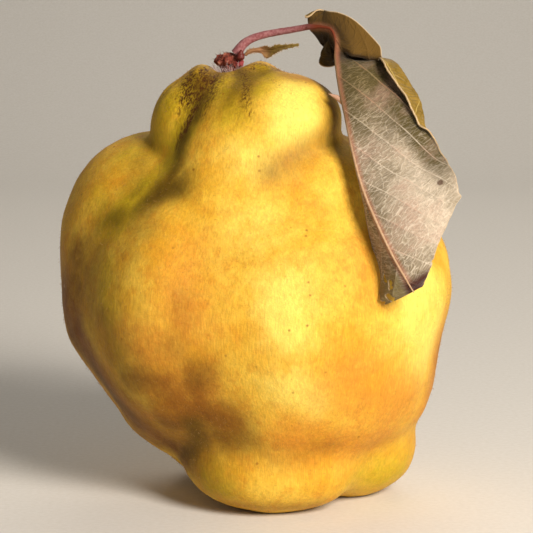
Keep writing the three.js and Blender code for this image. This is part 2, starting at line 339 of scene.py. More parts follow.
fruit = {
    "core": (0, 0, 43),
    "reach": 80,
    "cuts": 118,
    "lobes": [  # centre, radii, width of the crease kept with the lobes before it
        ((6, 2, 39), (31, 32, 34), 1),  # body
        ((-20, 9, 55.5), (22.3, 22, 23), 4),  # left shoulder
        ((-20, 5, 42), (22, 22, 22), 5),  # left flank
        ((-12, 2, 29.5), (20, 24, 21.5), 6),  # left hip
        ((20, 2, 46), (22.3, 28, 23), 5),  # right shoulder
        ((14, 2, 64), (16, 19, 14), 6),  # right collar
        ((20.5, 0, 27.5), (17.5, 24, 17), 6),  # right hip
        ((4, 3, 20.5), (23, 26, 18), 6),  # base
        ((-9, 18, 44), (19, 19, 27), 7),  # back left belly
        ((15, 18, 41), (18, 21, 26), 6),  # back right belly
        ((-16, -11.5, 43.5), (17.5, 17.5, 23), 8),  # left belly
        ((8, -12, 41), (20, 20.5, 27), 11),  # right belly
        ((-4.5, -7.5, 61), (14, 15.5, 24), 8),  # front ridge
        ((12, -9, 65.5), (13.5, 13.5, 12.5), 6),  # right brow
        ((6.4, -7.3, 81.8), (11.4, 12, 9.8), 3),  # right knob
        ((-5.8, -3.6, 74.9), (10, 13, 16.9), 5),  # neck
        ((-7.2, -3, 82), (5, 9.8, 8.2), 2.5),  # left edge of the neck
        ((1, -7.5, 76), (9, 11.5, 12), 7),  # front of the neck
        ((-1, 8, 68), (15, 16, 15), 5),  # nape
        ((-12.5, 1, 80), (10, 11, 11), 2.2),  # left knob
        ((-10.6, 0.4, 86.2), (5.8, 8.4, 7.3), 1.5),  # left crown
        ((0.6, -1.5, 85.6), (6.5, 9.5, 8.4), 3),  # right crown
        ((5.5, 10.5, 80.3), (11, 11, 10), 5),  # back knob
        ((3.4, -11.4, 9), (18, 14.3, 9.6), 5),  # front foot
        ((20.5, 2, 11.2), (14, 15, 12), 4),  # right foot
        ((-4, 14, 9.4), (14, 15, 10), 8),  # back left foot
        ((14, 17, 9.4), (14, 14, 10), 8),  # back right foot
    ],
    "hollows": [
        ((-5.6, 0.6, 97.8), (5.6, 5.8, 8), 2),  # round the spur
        ((8, 5, -2), (9, 9, 10.5), 4),  # round the calyx
    ],
    "lumps": [(15, 0.7), (6.5, 0.26), (2.2, 0.05)],  # how far across, how high
    "furrows": {"count": 13, "depth": 0.5, "reach": 25, "from": 74, "to": 88},
}

tints = {  # strokes of colour laid on the flesh: their line, half width and strength
    # lemon yellow of the skin, and painted highlights on the front, the right side and the right knob
    "lemonAndHighlight": [
        ([(6, -33, 50), (6, -33, 43)], 7, 0.9), ([(34, -20, 46), (35, -18, 36)], 9, 1),
        ([(9, -17, 87), (8, -20, 82)], 6.5, 1), ([(-4, -22, 76), (1, -22, 75)], 6, 0.6),
        ([(7, -33, 31), (12, -31, 27)], 6, 0.7), ([(0, -27, 62)], 8, 0.5), ([(-6, 34, 44)], 10, 0.7),
        ([(30, 16, 56)], 9, 0.6),
    ],
    "blush": [
        ([(-15, -28, 56), (-14, -29, 42)], 9, 0.7), ([(19, -30, 31), (30, -21, 25)], 10, 0.9),
        ([(26, -18, 16), (8, -28, 19)], 7, 0.9), ([(21, -26, 58), (23, -29, 48)], 5, 0.6),
        ([(-21, -27, 38), (-14, -26, 28)], 8, 0.8), ([(39, -6, 34), (36, -8, 22)], 7, 1),
        ([(24, 28, 40), (8, 37, 34)], 12, 0.9), ([(-22, 28, 54)], 10, 0.7), ([(2, 22, 70)], 7, 0.5),
    ],
    # brown of the skin round the calyx and at the back, and painted shade: a wash over the left third, behind
    # the left contour, along the right knob's upper edge, in the valley under the right knob and under the
    # belly
    "brown": [
        ([(-41, -3, 44), (-38, -8, 34), (-31, -14, 24), (-23, -18, 15), (-14, -22, 11)], 9, 1),
        ([(-17, -25, 24), (-8, -27, 17)], 7, 1), ([(-6, -27, 16), (6, -28, 13.5), (16, -26, 15)], 3.5, 0.7),
        ([(3, -21, 72.5), (7, -20, 75), (13, -17, 78.5)], 4.6, 0.6),
        ([(2, -8, 93.5), (8, -11, 92), (13, -8, 90.5), (17, -5, 87)], 3.2, 0.75),
        ([(-18, -21, 21), (-12, -24, 24), (-6, -26, 22)], 6, 1), ([(-31, -20, 42), (-30, -21, 34)], 5, 0.7),
        ([(-15, -29, 48), (-15, -29, 39)], 4, 0.45), ([(-13, -21, 5)], 7, 0.8),
        ([(-11, -29, 33), (-12, -27, 26)], 5, 0.8),
        ([(-34, -11, 55), (-34, -14, 45), (-31, -19, 37), (-27, -21, 29)], 8, 0.45),
        ([(-26, -22, 30), (-19, -26, 30), (-20, -22, 21), (-10, -22, 18)], 5, 0.75),
        ([(39, -4, 37), (37, -5, 26)], 8, 0.4),
        ([(-41, 4, 50), (-40, 3, 40), (-36, 1, 30), (-30, -2, 22), (-24, -5, 15)], 9, 0.6),
        ([(-8, -19, 2.5), (3, -23, 2), (12, -19, 3)], 3, 0.5), ([(30, 24, 24), (22, 32, 18)], 8, 0.7),
        ([(-30, 20, 25)], 9, 0.7), ([(8, 5, 3)], 13, 0.7),
        ([(-34, -10, 58), (-31, -18, 44), (-24, -23, 26)], 13, 0.28),
    ],
    # olive green round the crown and the feet, and painted shade down the valley left of the neck and on the
    # left side
    "olive": [
        ([(-7, -7, 92), (-5, -14, 88), (-4.5, -17, 84)], 5.5, 0.75), ([(2, -8, 93), (1, -14, 89)], 4, 0.8),
        ([(-11, -4, 92), (-14, -7, 87), (-19, -6, 84), (-20, -5, 79)], 6, 0.8),
        ([(-27, -2, 75), (-23, -4, 77)], 7, 0.5),
        ([(-11, -10, 86), (-16, -10, 78), (-22, -12, 71), (-29, -13, 61)], 5, 1),
        ([(-33, -5, 67), (-30, -12, 57)], 4, 0.5), ([(-13, -23, 69)], 6, 0.35),
        ([(-30, -18, 52), (-29, -21, 46), (-27, -20, 34)], 4, 0.5), ([(-8, -21, 7)], 7, 0.6),
        ([(31, -6, 7), (24, -16, 6)], 7, 0.7), ([(8, 14, 88), (6, 20, 80)], 11, 0.9),
        ([(-36, 14, 50), (-30, 22, 38)], 8, 0.5), ([(-6, 26, 10), (16, 28, 9)], 9, 0.7),
    ],
    # dark olive-brown of the crown round the spur, and painted shade: in the valleys and creases left of the
    # neck, in the leaf's shadow on the right knob, along the lower left and under the belly
    "darkOliveAndShade": [
        ([(-14.5, -11, 80), (-16, -14, 74), (-19, -15, 69)], 3.2, 0.7),
        ([(-15, -18, 70), (-19, -15, 68), (-23, -16, 63)], 4.5, 0.75),
        ([(-23, -16, 63), (-29, -14, 59)], 4, 0.4),
        ([(-23, -2, 77), (-25, -6, 72), (-26, -9, 68)], 4.2, 0.55),
        ([(-38, -4, 34), (-33, -10, 25), (-26, -13, 17)], 6, 0.55),
        ([(-31, -10, 62), (-28, -14, 62), (-22, -21, 60)], 5, 0.5),
        ([(-29, -17, 57), (-24, -23, 56)], 7, 0.4), ([(-9, -6, 91.5), (-11, -7, 89)], 2.6, 1.1),
        ([(-11, -9, 86), (-12, -11, 83)], 3, 1), ([(-17, -28, 38), (-13, -28, 31)], 5, 0.35),
        ([(-13, -22, 20), (-12, -20, 16), (-15, -15, 12)], 4, 0.6),
        ([(-30, -19, 50), (-30, -19, 42), (-26, -21, 32)], 10, 0.45),
        ([(-17, -20, 19), (-10, -22, 17), (-3, -25, 17)], 5, 0.35),
        ([(16.5, -14, 86), (16, -15, 79)], 3.5, 0.9), ([(-27, 0, 75)], 7, 0.3),
        ([(-10.5, -4, 93), (-11, -7, 89.5), (-12.6, -10, 84.5), (-14.5, -11, 80)], 1.6, 0.9),
        ([(-8.5, -7, 91), (-9, -11.5, 87)], 2.2, 0.4), ([(-14, -5, 90), (-14, -8, 87)], 2.2, 0.7),
        ([(-24, -9, 15), (-17, -13, 9)], 4, 0.6), ([(4, -20, 73), (9, -19, 76)], 4, 0.25),
        ([(-14, -1, 93), (-10, -4, 93)], 2, 0.5), ([(-5, -8, 93), (-3, -8, 93)], 2, 0.4),
        ([(-14, -6, 91), (-11, -8, 88)], 2.8, 0.6),
    ],
    # russet of the skin at the crown, the calyx and the right side, and painted shade along the left flank
    # and the lower left contour
    "russetAndShade": [
        ([(-38, -6, 54), (-36, -9, 47), (-36, -9, 38), (-31, -11, 29), (-24, -12, 19), (-16, -13, 12)],
         5, 0.75),
        ([(-28, -10, 20), (-21, -13, 13)], 7, 0.6), ([(-41, -1, 46), (-39, -2, 36)], 6, 0.6),
        ([(-10, -21, 17), (-1, -27, 18)], 3.5, 0.35), ([(40, -4, 36), (37, -7, 30)], 4, 0.4),
        ([(-6, -4, 92)], 6, 0.6), ([(8, 5, 3)], 11, 0.7),
        ([(-14, -5, 91.5), (-10, -8, 90), (-9.5, -11, 86)], 3, 0.5),
    ],
    "cracked": [
        ([(-10.5, -4, 93), (-10.8, -7, 89.5), (-12, -9.5, 85.5), (-14, -10.5, 81), (-17, -11, 77)], 1.1, 1),
        ([(-8.5, -7, 91), (-8.5, -11, 87), (-10, -12.5, 83.5)], 1.6, 0.6),
        ([(-14, -4, 91.5), (-14, -8, 86.5)], 2.2, 0.9),
        ([(-2.2, -7.5, 92.5), (-2, -13, 90), (-1.8, -16, 87), (-1, -18, 84)], 0.8, 0.8),
        ([(-1, -5, 93.5), (5, -6, 92)], 1.3, 0.8), ([(2, 6, 91), (4, 12, 89)], 1.2, 0.8),
    ],
    "scar": [
        ([(-37, -7, 51)], 0.6, 1), ([(-35, -9.5, 52), (-34, -10.5, 51)], 0.5, 1),
        ([(-34, -12, 48)], 0.9, 1), ([(-41, -1, 46)], 0.5, 1), ([(-39, -3, 35)], 0.5, 1),
        ([(-29, -16, 31)], 0.6, 1), ([(-32, -10, 28)], 0.7, 1), ([(-33, 2, 68), (-32, 0, 69)], 0.6, 0.7),
        ([(20, 33, 50), (21, 33, 48)], 0.6, 0.9), ([(-20, 27, 30)], 0.7, 0.8),
    ],
}



def strokes(p, lines):
    cover = np.zeros(len(p))
    for line, half, strength in lines:
        far = np.full(len(p), 1e9)
        for a, b in zip(line, line[1:] or line):
            a, run = np.array(a, float), np.subtract(b, a, dtype=float)
            t = np.clip((p - a) @ run / max(run @ run, 1e-9), 0, 1)
            far = np.minimum(far, np.linalg.norm(p - a - t[:, None] * run, axis=1))
        cover = np.maximum(cover, strength * np.exp(-(far / half) ** 2))
    return cover


def makeFruit():
    piece, rays, p, crease = swollen("fruitFlesh", fruit)
    furrow = fruit["furrows"]
    away = p[:, :2] - np.array(fruit["hollows"][0][0][:2])
    reach, turn = np.linalg.norm(away, axis=1), np.arctan2(away[:, 1], away[:, 0])
    crown = smooth(p[:, 2], furrow["from"], furrow["to"]) * (1 - smooth(reach, 8, furrow["reach"]))
    line = np.abs(np.sin(furrow["count"] / 2 * turn + 0.9 * wobble(p, 9, 3)))
    cut = (1 - smooth(line, 0, 0.4)) * crown * smooth(wobble(p, 6, 5), -0.5, 0.4)
    swell = sum(height * wobble(p, across, across) for across, height in fruit["lumps"])
    p = p + rays * (swell - furrow["depth"] * cut * smooth(reach, 2, 5))[:, None]
    p[:, 2] = np.maximum(p[:, 2], 0)
    place(piece, toRow(p))
    paint(piece, "crease", np.clip(crease / 1.3, 0, 1))
    paint(piece, "crown", crown)
    paint(piece, "furrow", cut)
    for name, lines in tints.items():
        paint(piece, name, strokes(p, lines))
    return finished(piece, "fruit", "skin", quinceSkin())


skin = {
    "ripe": "#d9a32c",
    "golden": "#e7bd45",
    "amber": "#cf8a26",
    "mottle": (9.0, 3.2),  # mm across the cloudy changes of yellow, and the smaller dapples in them
    "flecks": (0.9, 1.6),  # mm wide and long, faint and running from stalk to calyx
    "fibres": (0.35, 2.4),  # the same for the fine streaks left by the down
    "streaks": (0.4, 2.6),  # the same for the brown ones of the crown
    # stroke, colour, its strength where it starts and where it is full, how much it covers, how patchy it is
    "stains": [
        # the first also carries painted highlights; brown, olive, the dark olive-brown and russet also carry
        # painted shade
        ("lemonAndHighlight", "#f3d968", 0.0, 1.0, 0.85, 1.0),
        ("blush", "#cd8429", 0.0, 1.15, 0.8, 1.0),
        ("brown", "#7d480c", 0.0, 1.1, 0.87, 0.35),
        ("olive", "#bca216", 0.0, 1.1, 0.85, 1.0),
        ("darkOliveAndShade", "#55400a", 0.0, 1.1, 0.8, 0.4),
        ("russetAndShade", "#5f2c08", 0.05, 1.15, 0.8, 0.7),
    ],
    "shade": "#5a4208",  # painted shade in the creases
    "streak": "#4f2c0e",  # in the furrows of the crown
    "pore": "#7d4714",
    "poreApart": 3.4,
    "scar": "#e0b98c",
    "grain": 0.45,
}


def quinceSkin():  # ripe quince: waxy yellow skin, half matt because a thin down still clings to it
    m, tree, surface = material("quinceSkin")
    spot = add(tree, "TexCoord", {}, "Object")
    large, small = skin["mottle"]
    cloud = add(tree, "TexNoise", {"Vector": spot, "Scale": 1000 / large, "Detail": 5.0, "Roughness": 0.6})
    dapple = add(tree, "TexNoise", {"Vector": spot, "Scale": 1000 / small, "Detail": 4.0, "Roughness": 0.65})
    wide, long = skin["flecks"]
    tall = add(tree, "Mapping", {"Vector": spot, "Scale": (1000 / wide, 1000 / wide, 1000 / long)})
    fleck = add(tree, "TexNoise", {"Vector": tall, "Scale": 1.0, "Detail": 4.0, "Roughness": 0.6})
    wide, long = skin["fibres"]
    fibre = add(tree, "Mapping", {"Vector": spot, "Scale": (1000 / wide, 1000 / wide, 1000 / long)})
    fibre = add(tree, "TexNoise", {"Vector": fibre, "Scale": 1.0, "Detail": 3.0, "Roughness": 0.6,
                                   "Distortion": 0.8})
    fray = add(tree, "TexNoise", {"Vector": spot, "Scale": 420.0, "Detail": 6.0, "Roughness": 0.7})
    fray = add(tree, "MapRange", {0: fray, 1: 0.3, 2: 0.7, 3: 0.7, 4: 1.3})
    patchy = add(tree, "MapRange", {0: cloud, 1: 0.35, 2: 0.65, 3: 0.75, 4: 1.3})
    patchy = add(tree, "Math", {0: patchy, 1: fray}, operation="MULTIPLY")
    share = add(tree, "MapRange", {0: cloud, 1: 0.38, 2: 0.62, 3: 0.0, 4: 1.0})
    color = add(tree, "Mix", {0: share, 6: skin["ripe"], 7: skin["golden"]}, 2, **inColor)
    share = add(tree, "MapRange", {0: dapple, 1: 0.48, 2: 0.66, 3: 0.0, 4: 0.5})
    color = add(tree, "Mix", {0: share, 6: color, 7: skin["amber"]}, 2, **inColor)
    for name, code, low, high, most, uneven in skin["stains"]:
        share = add(tree, "Attribute", {}, "Fac", attribute_name=name)
        broken = add(tree, "Mix", {0: uneven, 2: 1.0, 3: patchy})
        share = add(tree, "Math", {0: share, 1: broken}, operation="MULTIPLY")
        share = add(tree, "MapRange", {0: share, 1: low, 2: high, 3: 0.0, 4: most}, **softly)
        color = add(tree, "Mix", {0: share, 6: color, 7: code}, 2, **inColor)

    # painted shade in the creases of the upper half, and dark brown streaks in the furrows round the stalk
    darkOliveAndShade, crown, crease, furrow, cracked, scar = (
        add(tree, "Attribute", {}, "Fac", attribute_name=name)
        for name in ("darkOliveAndShade", "crown", "crease", "furrow", "cracked", "scar"))
    shade = add(tree, "Math", {0: darkOliveAndShade, 1: crown}, operation="MAXIMUM")
    shade = add(tree, "Math", {0: shade, 1: crease}, operation="MULTIPLY")
    shade = add(tree, "MapRange", {0: shade, 1: 0.1, 2: 0.8, 3: 0.0, 4: 0.75}, **softly)
    color = add(tree, "Mix", {0: shade, 6: color, 7: skin["shade"]}, 2, **inColor)
    furrow = add(tree, "Math", {0: crown, 1: 0.25, 2: furrow}, operation="MULTIPLY_ADD")
    furrow = add(tree, "Math", {0: cracked, 1: 1.3, 2: furrow}, operation="MULTIPLY_ADD")
    wide, long = skin["streaks"]
    streak = add(tree, "Mapping", {"Vector": spot, "Scale": (1000 / wide, 1000 / wide, 1000 / long)})
    streak = add(tree, "TexNoise", {"Vector": streak, "Scale": 1.0, "Detail": 3.0, "Roughness": 0.6})
    streak = add(tree, "MapRange", {0: streak, 1: 0.4, 2: 0.62, 3: 0.0, 4: 1.0}, **softly)
    streak = add(tree, "Math", {0: streak, 1: furrow}, operation="MULTIPLY", use_clamp=True)
    color = add(tree, "Mix", {0: streak, 6: color, 7: skin["streak"]}, 2, **inColor)

    # faint long flecks everywhere, brown pores here and there, and old scratches healed pale
    fleck = add(tree, "MapRange", {0: fleck, 1: 0.35, 2: 0.7, 3: 0.94, 4: 1.05})
    color = add(tree, "Mix", {0: 1.0, 6: color, 7: fleck}, 2, **inColor, blend_type="MULTIPLY")
    fibre = add(tree, "MapRange", {0: fibre, 1: 0.34, 2: 0.66, 3: 0.86, 4: 1.11})
    color = add(tree, "Mix", {0: 1.0, 6: color, 7: fibre}, 2, **inColor, blend_type="MULTIPLY")
    cell = add(tree, "TexVoronoi", {"Vector": spot, "Scale": 1000 / skin["poreApart"]})
    few = add(tree, "SeparateColor", {0: cell.node.outputs["Color"]})
    few = add(tree, "Math", {0: few, 1: 0.3}, operation="LESS_THAN")
    pore = add(tree, "MapRange", {0: cell, 1: 0.03, 2: 0.12, 3: 0.7, 4: 0.0})
    pore = add(tree, "Math", {0: pore, 1: few}, operation="MULTIPLY")
    color = add(tree, "Mix", {0: pore, 6: color, 7: skin["pore"]}, 2, **inColor)
    scar = add(tree, "MapRange", {0: scar, 1: 0.35, 2: 0.7, 3: 0.0, 4: 0.9})
    color = add(tree, "Mix", {0: scar, 6: color, 7: skin["scar"]}, 2, **inColor)
    tree.links.new(color, surface["Base Color"])

    tree.links.new(add(tree, "MapRange", {0: cloud, 1: 0.3, 2: 0.7, 3: 0.48, 4: 0.64}), surface["Roughness"])
    surface["IOR"].default_value = 1.45
    surface["Specular IOR Level"].default_value = 0.2
    surface["Subsurface Weight"].default_value = 0.12
    surface["Subsurface Radius"].default_value = (1.0, 0.45, 0.1)
    surface["Subsurface Scale"].default_value = 0.0015
    surface["Sheen Weight"].default_value = 0.05
    surface["Sheen Roughness"].default_value = 0.35
    surface["Sheen Tint"].default_value = srgb("#e8c79a")
    grain = add(tree, "TexNoise", {"Vector": spot, "Scale": 1000 / skin["grain"], "Detail": 3.0})
    bump = add(tree, "Bump", {"Strength": 0.3, "Distance": 0.0002, "Height": grain})
    bump = add(tree, "Bump", {"Strength": 0.4, "Distance": 0.0005, "Height": fray, "Normal": bump})
    tree.links.new(bump, surface["Normal"])
    return m


down = {
    "count": 15000,
    "length": (0.3, 0.7),
    "width": 0.028,
    "bare": 0.25,  # how much is left where the down has rubbed off
    "color": ("#b08f58", "#94683c"),
}


def makeDown(flesh):  # short hairs lying on the skin, thicker round the stalk, rubbed off in patches
    faces = len(flesh.data.polygons)
    middles, ways, areas = (np.empty(faces * n, np.float32) for n in (3, 3, 1))
    flesh.data.polygons.foreach_get("center", middles)
    flesh.data.polygons.foreach_get("normal", ways)
    flesh.data.polygons.foreach_get("area", areas)
    middles = middles.reshape(-1, 3).astype(float) / mm - axisAt
    ways = ways.reshape(-1, 3).astype(float)
    coarse = middles[::7]
    thick = down["bare"] + smooth(np.repeat(wobble(coarse, 9, 11), 7)[:faces], -0.2, 0.5)
    thick *= 1 + 1.5 * smooth(middles[:, 2], 78, 92)
    thick[middles[:, 2] < 0.6] = 0
    chosen = random.choice(faces, down["count"], p=thick * areas / (thick * areas).sum())
    roots = middles[chosen] + random.normal(0, 0.12, (down["count"], 3)) - 0.12 * ways[chosen]
    lean = unit(random.normal(0, 1, (down["count"], 3)) + np.array((0, 0, -0.7)))
    long = random.uniform(*down["length"], down["count"])
    piece = hairs("fruitDown", roots, ways[chosen] + 0.8 * lean, long, down["width"])
    return finished(piece, "fruit", "skin", paleHair("downHair", *down["color"], 300.0), fine=False)


# The leaf: its blade hangs felted side to the front from a sharp bend in the midrib

blade = {
    "rows": 290,
    "left": 45,
    "right": 84,
    "rolled": 26,
    "thickness": 0.3,
    "rollAngle": 158,
    "rollReach": 1.2,
    "rollTurn": 2.4,  # how soon the turn is made, 1 being all along the rolled margin
    "cup": 22,
    "arch": -16,
    # the stalk end hangs over the rest of the blade in a fold: where along the blade it starts and ends, how
    # far it stands forward, hangs down and leaves the rest behind it, and how soon the rest comes forward
    "fold": {"from": 0.315, "to": 0.355, "front": 1.0, "down": 3.2, "back": 2.4, "fade": 0.1},
    "tipCurl": (0.95, 1.5),  # where along the blade the tip starts to curl back, and how far it does
    "wave": (0.5, 5.5),  # height and count
    "stations": [  # midrib, right width, lean to the front, rolled margin, left width, fold to the back
        ((11.1, -6, 101.3), 1.8, 10, 0.6, 1, 20),
        ((12.3, -7, 101.4), 2.5, 5, 0.9, 6, 20),
        ((13.7, -8, 101.4), 3, 5, 0.2, 8.5, 25),
        ((15.6, -9.5, 100.9), 3.8, 5, 0, 9.5, 35),
        ((16.4, -11, 98.9), 8.8, 0, 0, 9, 80),
        ((16.3, -13, 95.3), 10.3, 0, 2.4, 9, 108),
        ((16.9, -15, 90.3), 12.3, 5, 4.4, 11, 110),
        ((18.2, -18, 84), 14.9, 8, 3.5, 7.5, 106),
        ((19.6, -21.5, 77.2), 15.6, 8, 0.7, 5, 94),
        ((21.7, -26, 69.6), 17.6, 6, 0.3, 5, 72),
        ((24.6, -29.5, 62.8), 17.3, 4, 0, 6.8, 58),
        ((27.5, -32, 56.9), 11.2, 0, 0, 7, 46),
        ((30.2, -33.5, 52.3), 5.4, 0, 0, 8.6, 30),
        ((31.6, -33.6, 50), 2.2, -20, 0, 7.4, 20),
    ],
    "netRise": 0.4,  # how much the net leans to the stalk on its way out
    "veins": {"apart": 7.8, "first": 0.5, "slope": 1.15, "curl": 0.02, "half": 0.2, "height": 0.1},
    "ripples": [(9, 0.45), (3, 0.14)],  # how far across, how high
    # along, across, radius: eaten through, and dead brown spots
    "bites": [(59.5, -5.4, 0.6), (60.3, -5.2, 0.5), (61.2, -3.9, 0.6), (62.3, -4.2, 0.5), (64.6, -5.2, 0.8),
              (63.7, -5.6, 0.5)],
    "sores": [(47.1, 14.9, 0.5)],
    "spike": (0.785, 0.008, 1.1),  # where along the blade the right margin sticks out, how wide and how far
    "frayed": [(2.2, 0.22), (0.8, 0.1)],  # how far along, how deep
}


def bladeSheet():  # its points, with the way along and across the blade and how far in from the margin
    t = np.linspace(0, 1, blade["rows"])
    mid = through([s[0] for s in blade["stations"]], t, 0.5)
    right, lean, rolled, left, turned = (through([s[k] for s in blade["stations"]], t)[:, 0]
                                         for k in range(1, 6))
    along = unit(np.gradient(mid, axis=0))
    front = unit(np.array([0, -1.0, 0]) + along * along[:, 1:2])
    side = np.cross(front, along)
    at, wide, out = blade["spike"]
    right = right + out * np.exp(-((t - at) / wide) ** 2)
    right = right + sum(deep * wobble(mid, size, size) for size, deep in blade["frayed"])

    def walk(start, sign, length, count, turn):
        p, out = start, []
        for k in range(count):
            angle = np.radians(turn((k + 0.5) / count))[:, None]
            p = p + (length / count)[:, None] * (sign * np.cos(angle) * side + np.sin(angle) * front)
            out.append(p)
        return out

    leftHalf = walk(mid, -1, left, blade["left"], lambda u: -turned - blade["cup"] * u)
    rightHalf = walk(mid, 1, right, blade["right"], lambda u: lean + blade["arch"] * u)
    fold, (height, count) = blade["fold"], blade["wave"]
    past = smooth(t, fold["from"], fold["to"])
    lift = fold["front"] * smooth(t, 0.15, fold["from"]) * (1 - past)
    lift = lift - fold["back"] * past * (1 - smooth(t, fold["to"], fold["to"] + fold["fade"]))
    drop = fold["down"] * smooth(t, fold["from"] - 0.1, fold["from"]) * (1 - past)
    for k, p in enumerate(rightHalf):
        u = (k + 1) / blade["right"]
        reach = smooth(u, 0, 0.4)
        out = reach * lift + height * u * u * np.sin(2 * np.pi * count * t)
        rightHalf[k] = p + out[:, None] * front + (reach * drop)[:, None] * along
    full = blade["rollAngle"] * smooth(rolled, 0, blade["rollReach"])
    curled = np.maximum(rolled, 0.25) + blade["rollReach"] * full / blade["rollAngle"]
    roll = walk(rightHalf[-1], 1, curled, blade["rolled"],
                lambda u: lean + blade["arch"] + full * min(1, blade["rollTurn"] * u))
    sheet = np.stack([*leftHalf[::-1], mid, *rightHalf, *roll], axis=1)
    curlFrom, curl = blade["tipCurl"]
    sheet = sheet - (curl * smooth(t, curlFrom, 1.0)[:, None] * front)[:, None]
    steps = [np.linspace(-1, 0, blade["left"] + 1)[:-1], [0], np.linspace(0, 1, blade["right"] + 1)[1:],
             np.linspace(0, 1, blade["rolled"] + 1)[1:]]
    across = np.concatenate([left[:, None] * steps[0], 0 * left[:, None], right[:, None] * steps[2],
                             right[:, None] + curled[:, None] * steps[3]], axis=1)
    length = np.concatenate([[0], np.cumsum(np.linalg.norm(np.diff(mid, axis=0), axis=1))])
    inward = np.where(across < 0, across + left[:, None], (right + curled)[:, None] - across)
    return sheet, length[:, None] + 0 * across, across, inward


def makeBlade():
    sheet, along, across, inward = bladeSheet()
    rows, columns = along.shape
    bpy.ops.mesh.primitive_grid_add(x_subdivisions=rows - 1, y_subdivisions=columns - 1, size=1)
    piece = named("leafBlade")
    flat = places(piece)
    i, j = (np.rint((flat[:, k] + 0.5) * (n - 1)).astype(int) for k, n in ((0, rows), (1, columns)))
    p, s, u, edge = sheet[i, j], along[i, j], across[i, j], inward[i, j]
    place(piece, toRow(p))
    vein = blade["veins"]
    out = np.abs(u)
    way = s - vein["first"] - vein["slope"] * out - vein["curl"] * out * out + 0.45 * wobble(p, 6, 2)
    way = way + np.where(u < 0, vein["apart"] / 2, 0)  # the side veins leave the midrib by turns
    near = np.abs((way / vein["apart"] + 0.5) % 1 - 0.5) * vein["apart"] * 0.8
    ridge = np.exp(-(near / vein["half"]) ** 2) * (1 - smooth(edge, 3, 0)) * (way > -vein["apart"] / 2)
    ripple = sum(height * wobble(p, size, size) for size, height in blade["ripples"]) * smooth(out, 0, 3)
    bulge = 0.12 * (1 - smooth(near, 0, 1.5))  # the blade swells between the side veins
    rise = vein["height"] * ridge + ripple + bulge * smooth(out, 0, 2)
    place(piece, toRow(p + normals(piece) * rise[:, None]))
    sore = np.zeros(len(p))
    for at, off, r in blade["sores"]:
        sore = np.maximum(sore, np.exp(-(np.maximum(np.hypot(s - at, u - off) - r, 0) / 0.2) ** 2))
    for name, values in (("vein", near), ("along", s), ("across", u), ("edge", edge), ("sore", sore)):
        paint(piece, name, values)
    corners = np.empty(len(piece.data.loops), np.int32)
    piece.data.loops.foreach_get("vertex_index", corners)
    # the map's side is a tenth of a metre
    flatMap = np.stack([s + blade["netRise"] * out, u + 30], 1)[corners] / 100
    piece.data.uv_layers[0].data.foreach_set("uv", flatMap.astype(np.float32).ravel())
    eaten = edge < 0.7 * smooth(s, 58, 64) * smooth(wobble(p, 0.9, 5), 0.1, 0.8)
    for at, off, r in blade["bites"]:
        eaten |= np.hypot(s - at, u - off) + 0.35 * wobble(p, 0.7, 1) < r
    edit(piece)
    done()
    piece.data.vertices.foreach_set("select", eaten)
    bpy.ops.object.mode_set(mode="EDIT")
    bpy.ops.mesh.delete(type="VERT")
    done()
    for m in (leafFelt(), leafFace(), leafMargin()):
        piece.data.materials.append(m)
    applied(piece, "SOLIDIFY", thickness=blade["thickness"] * mm, offset=0, material_offset=1,
            material_offset_rim=2)
    return finished(piece, "leaf", "dried_leaf")


felt = {
    "new": "#504523",  # where the blade leaves the stalk, partly painted shade there; also the painted shade at the upper right, and dull patches
    "grey": "#7c6e56",
    "pale": "#beb09c",
    "pink": "#ad8c7c",
    "base": "#614716",
    # painted shade under the fold and beside the midrib near the stalk
    "shade": "#1d1409",
    # painted shadow on the left half of the blade at the stalk end, and on the upper face behind the midrib
    "flapShadow": "#1a1208",
    "vein": ("#94825d", "#e0d3c0"),  # near the stalk and beyond
    "redVein": "#a86c52",
    "bleached": "#d2ba96",
    # dark red of the tip where it curls back, partly painted shade where it turns away from the light
    "curled": "#3f1712",
    "torn": "#7d7046",
    "spot": "#4a2a18",
    "net": (0.75, 2.1),  # mm, the meshes between the side veins, along and across the blade
    # fine veins running out to the margin: mm apart and long, how broad and how bold
    "threads": [(1.0, 7.0, 0.03, 1.3), (0.5, 3.0, 0.04, 0.7)],
}


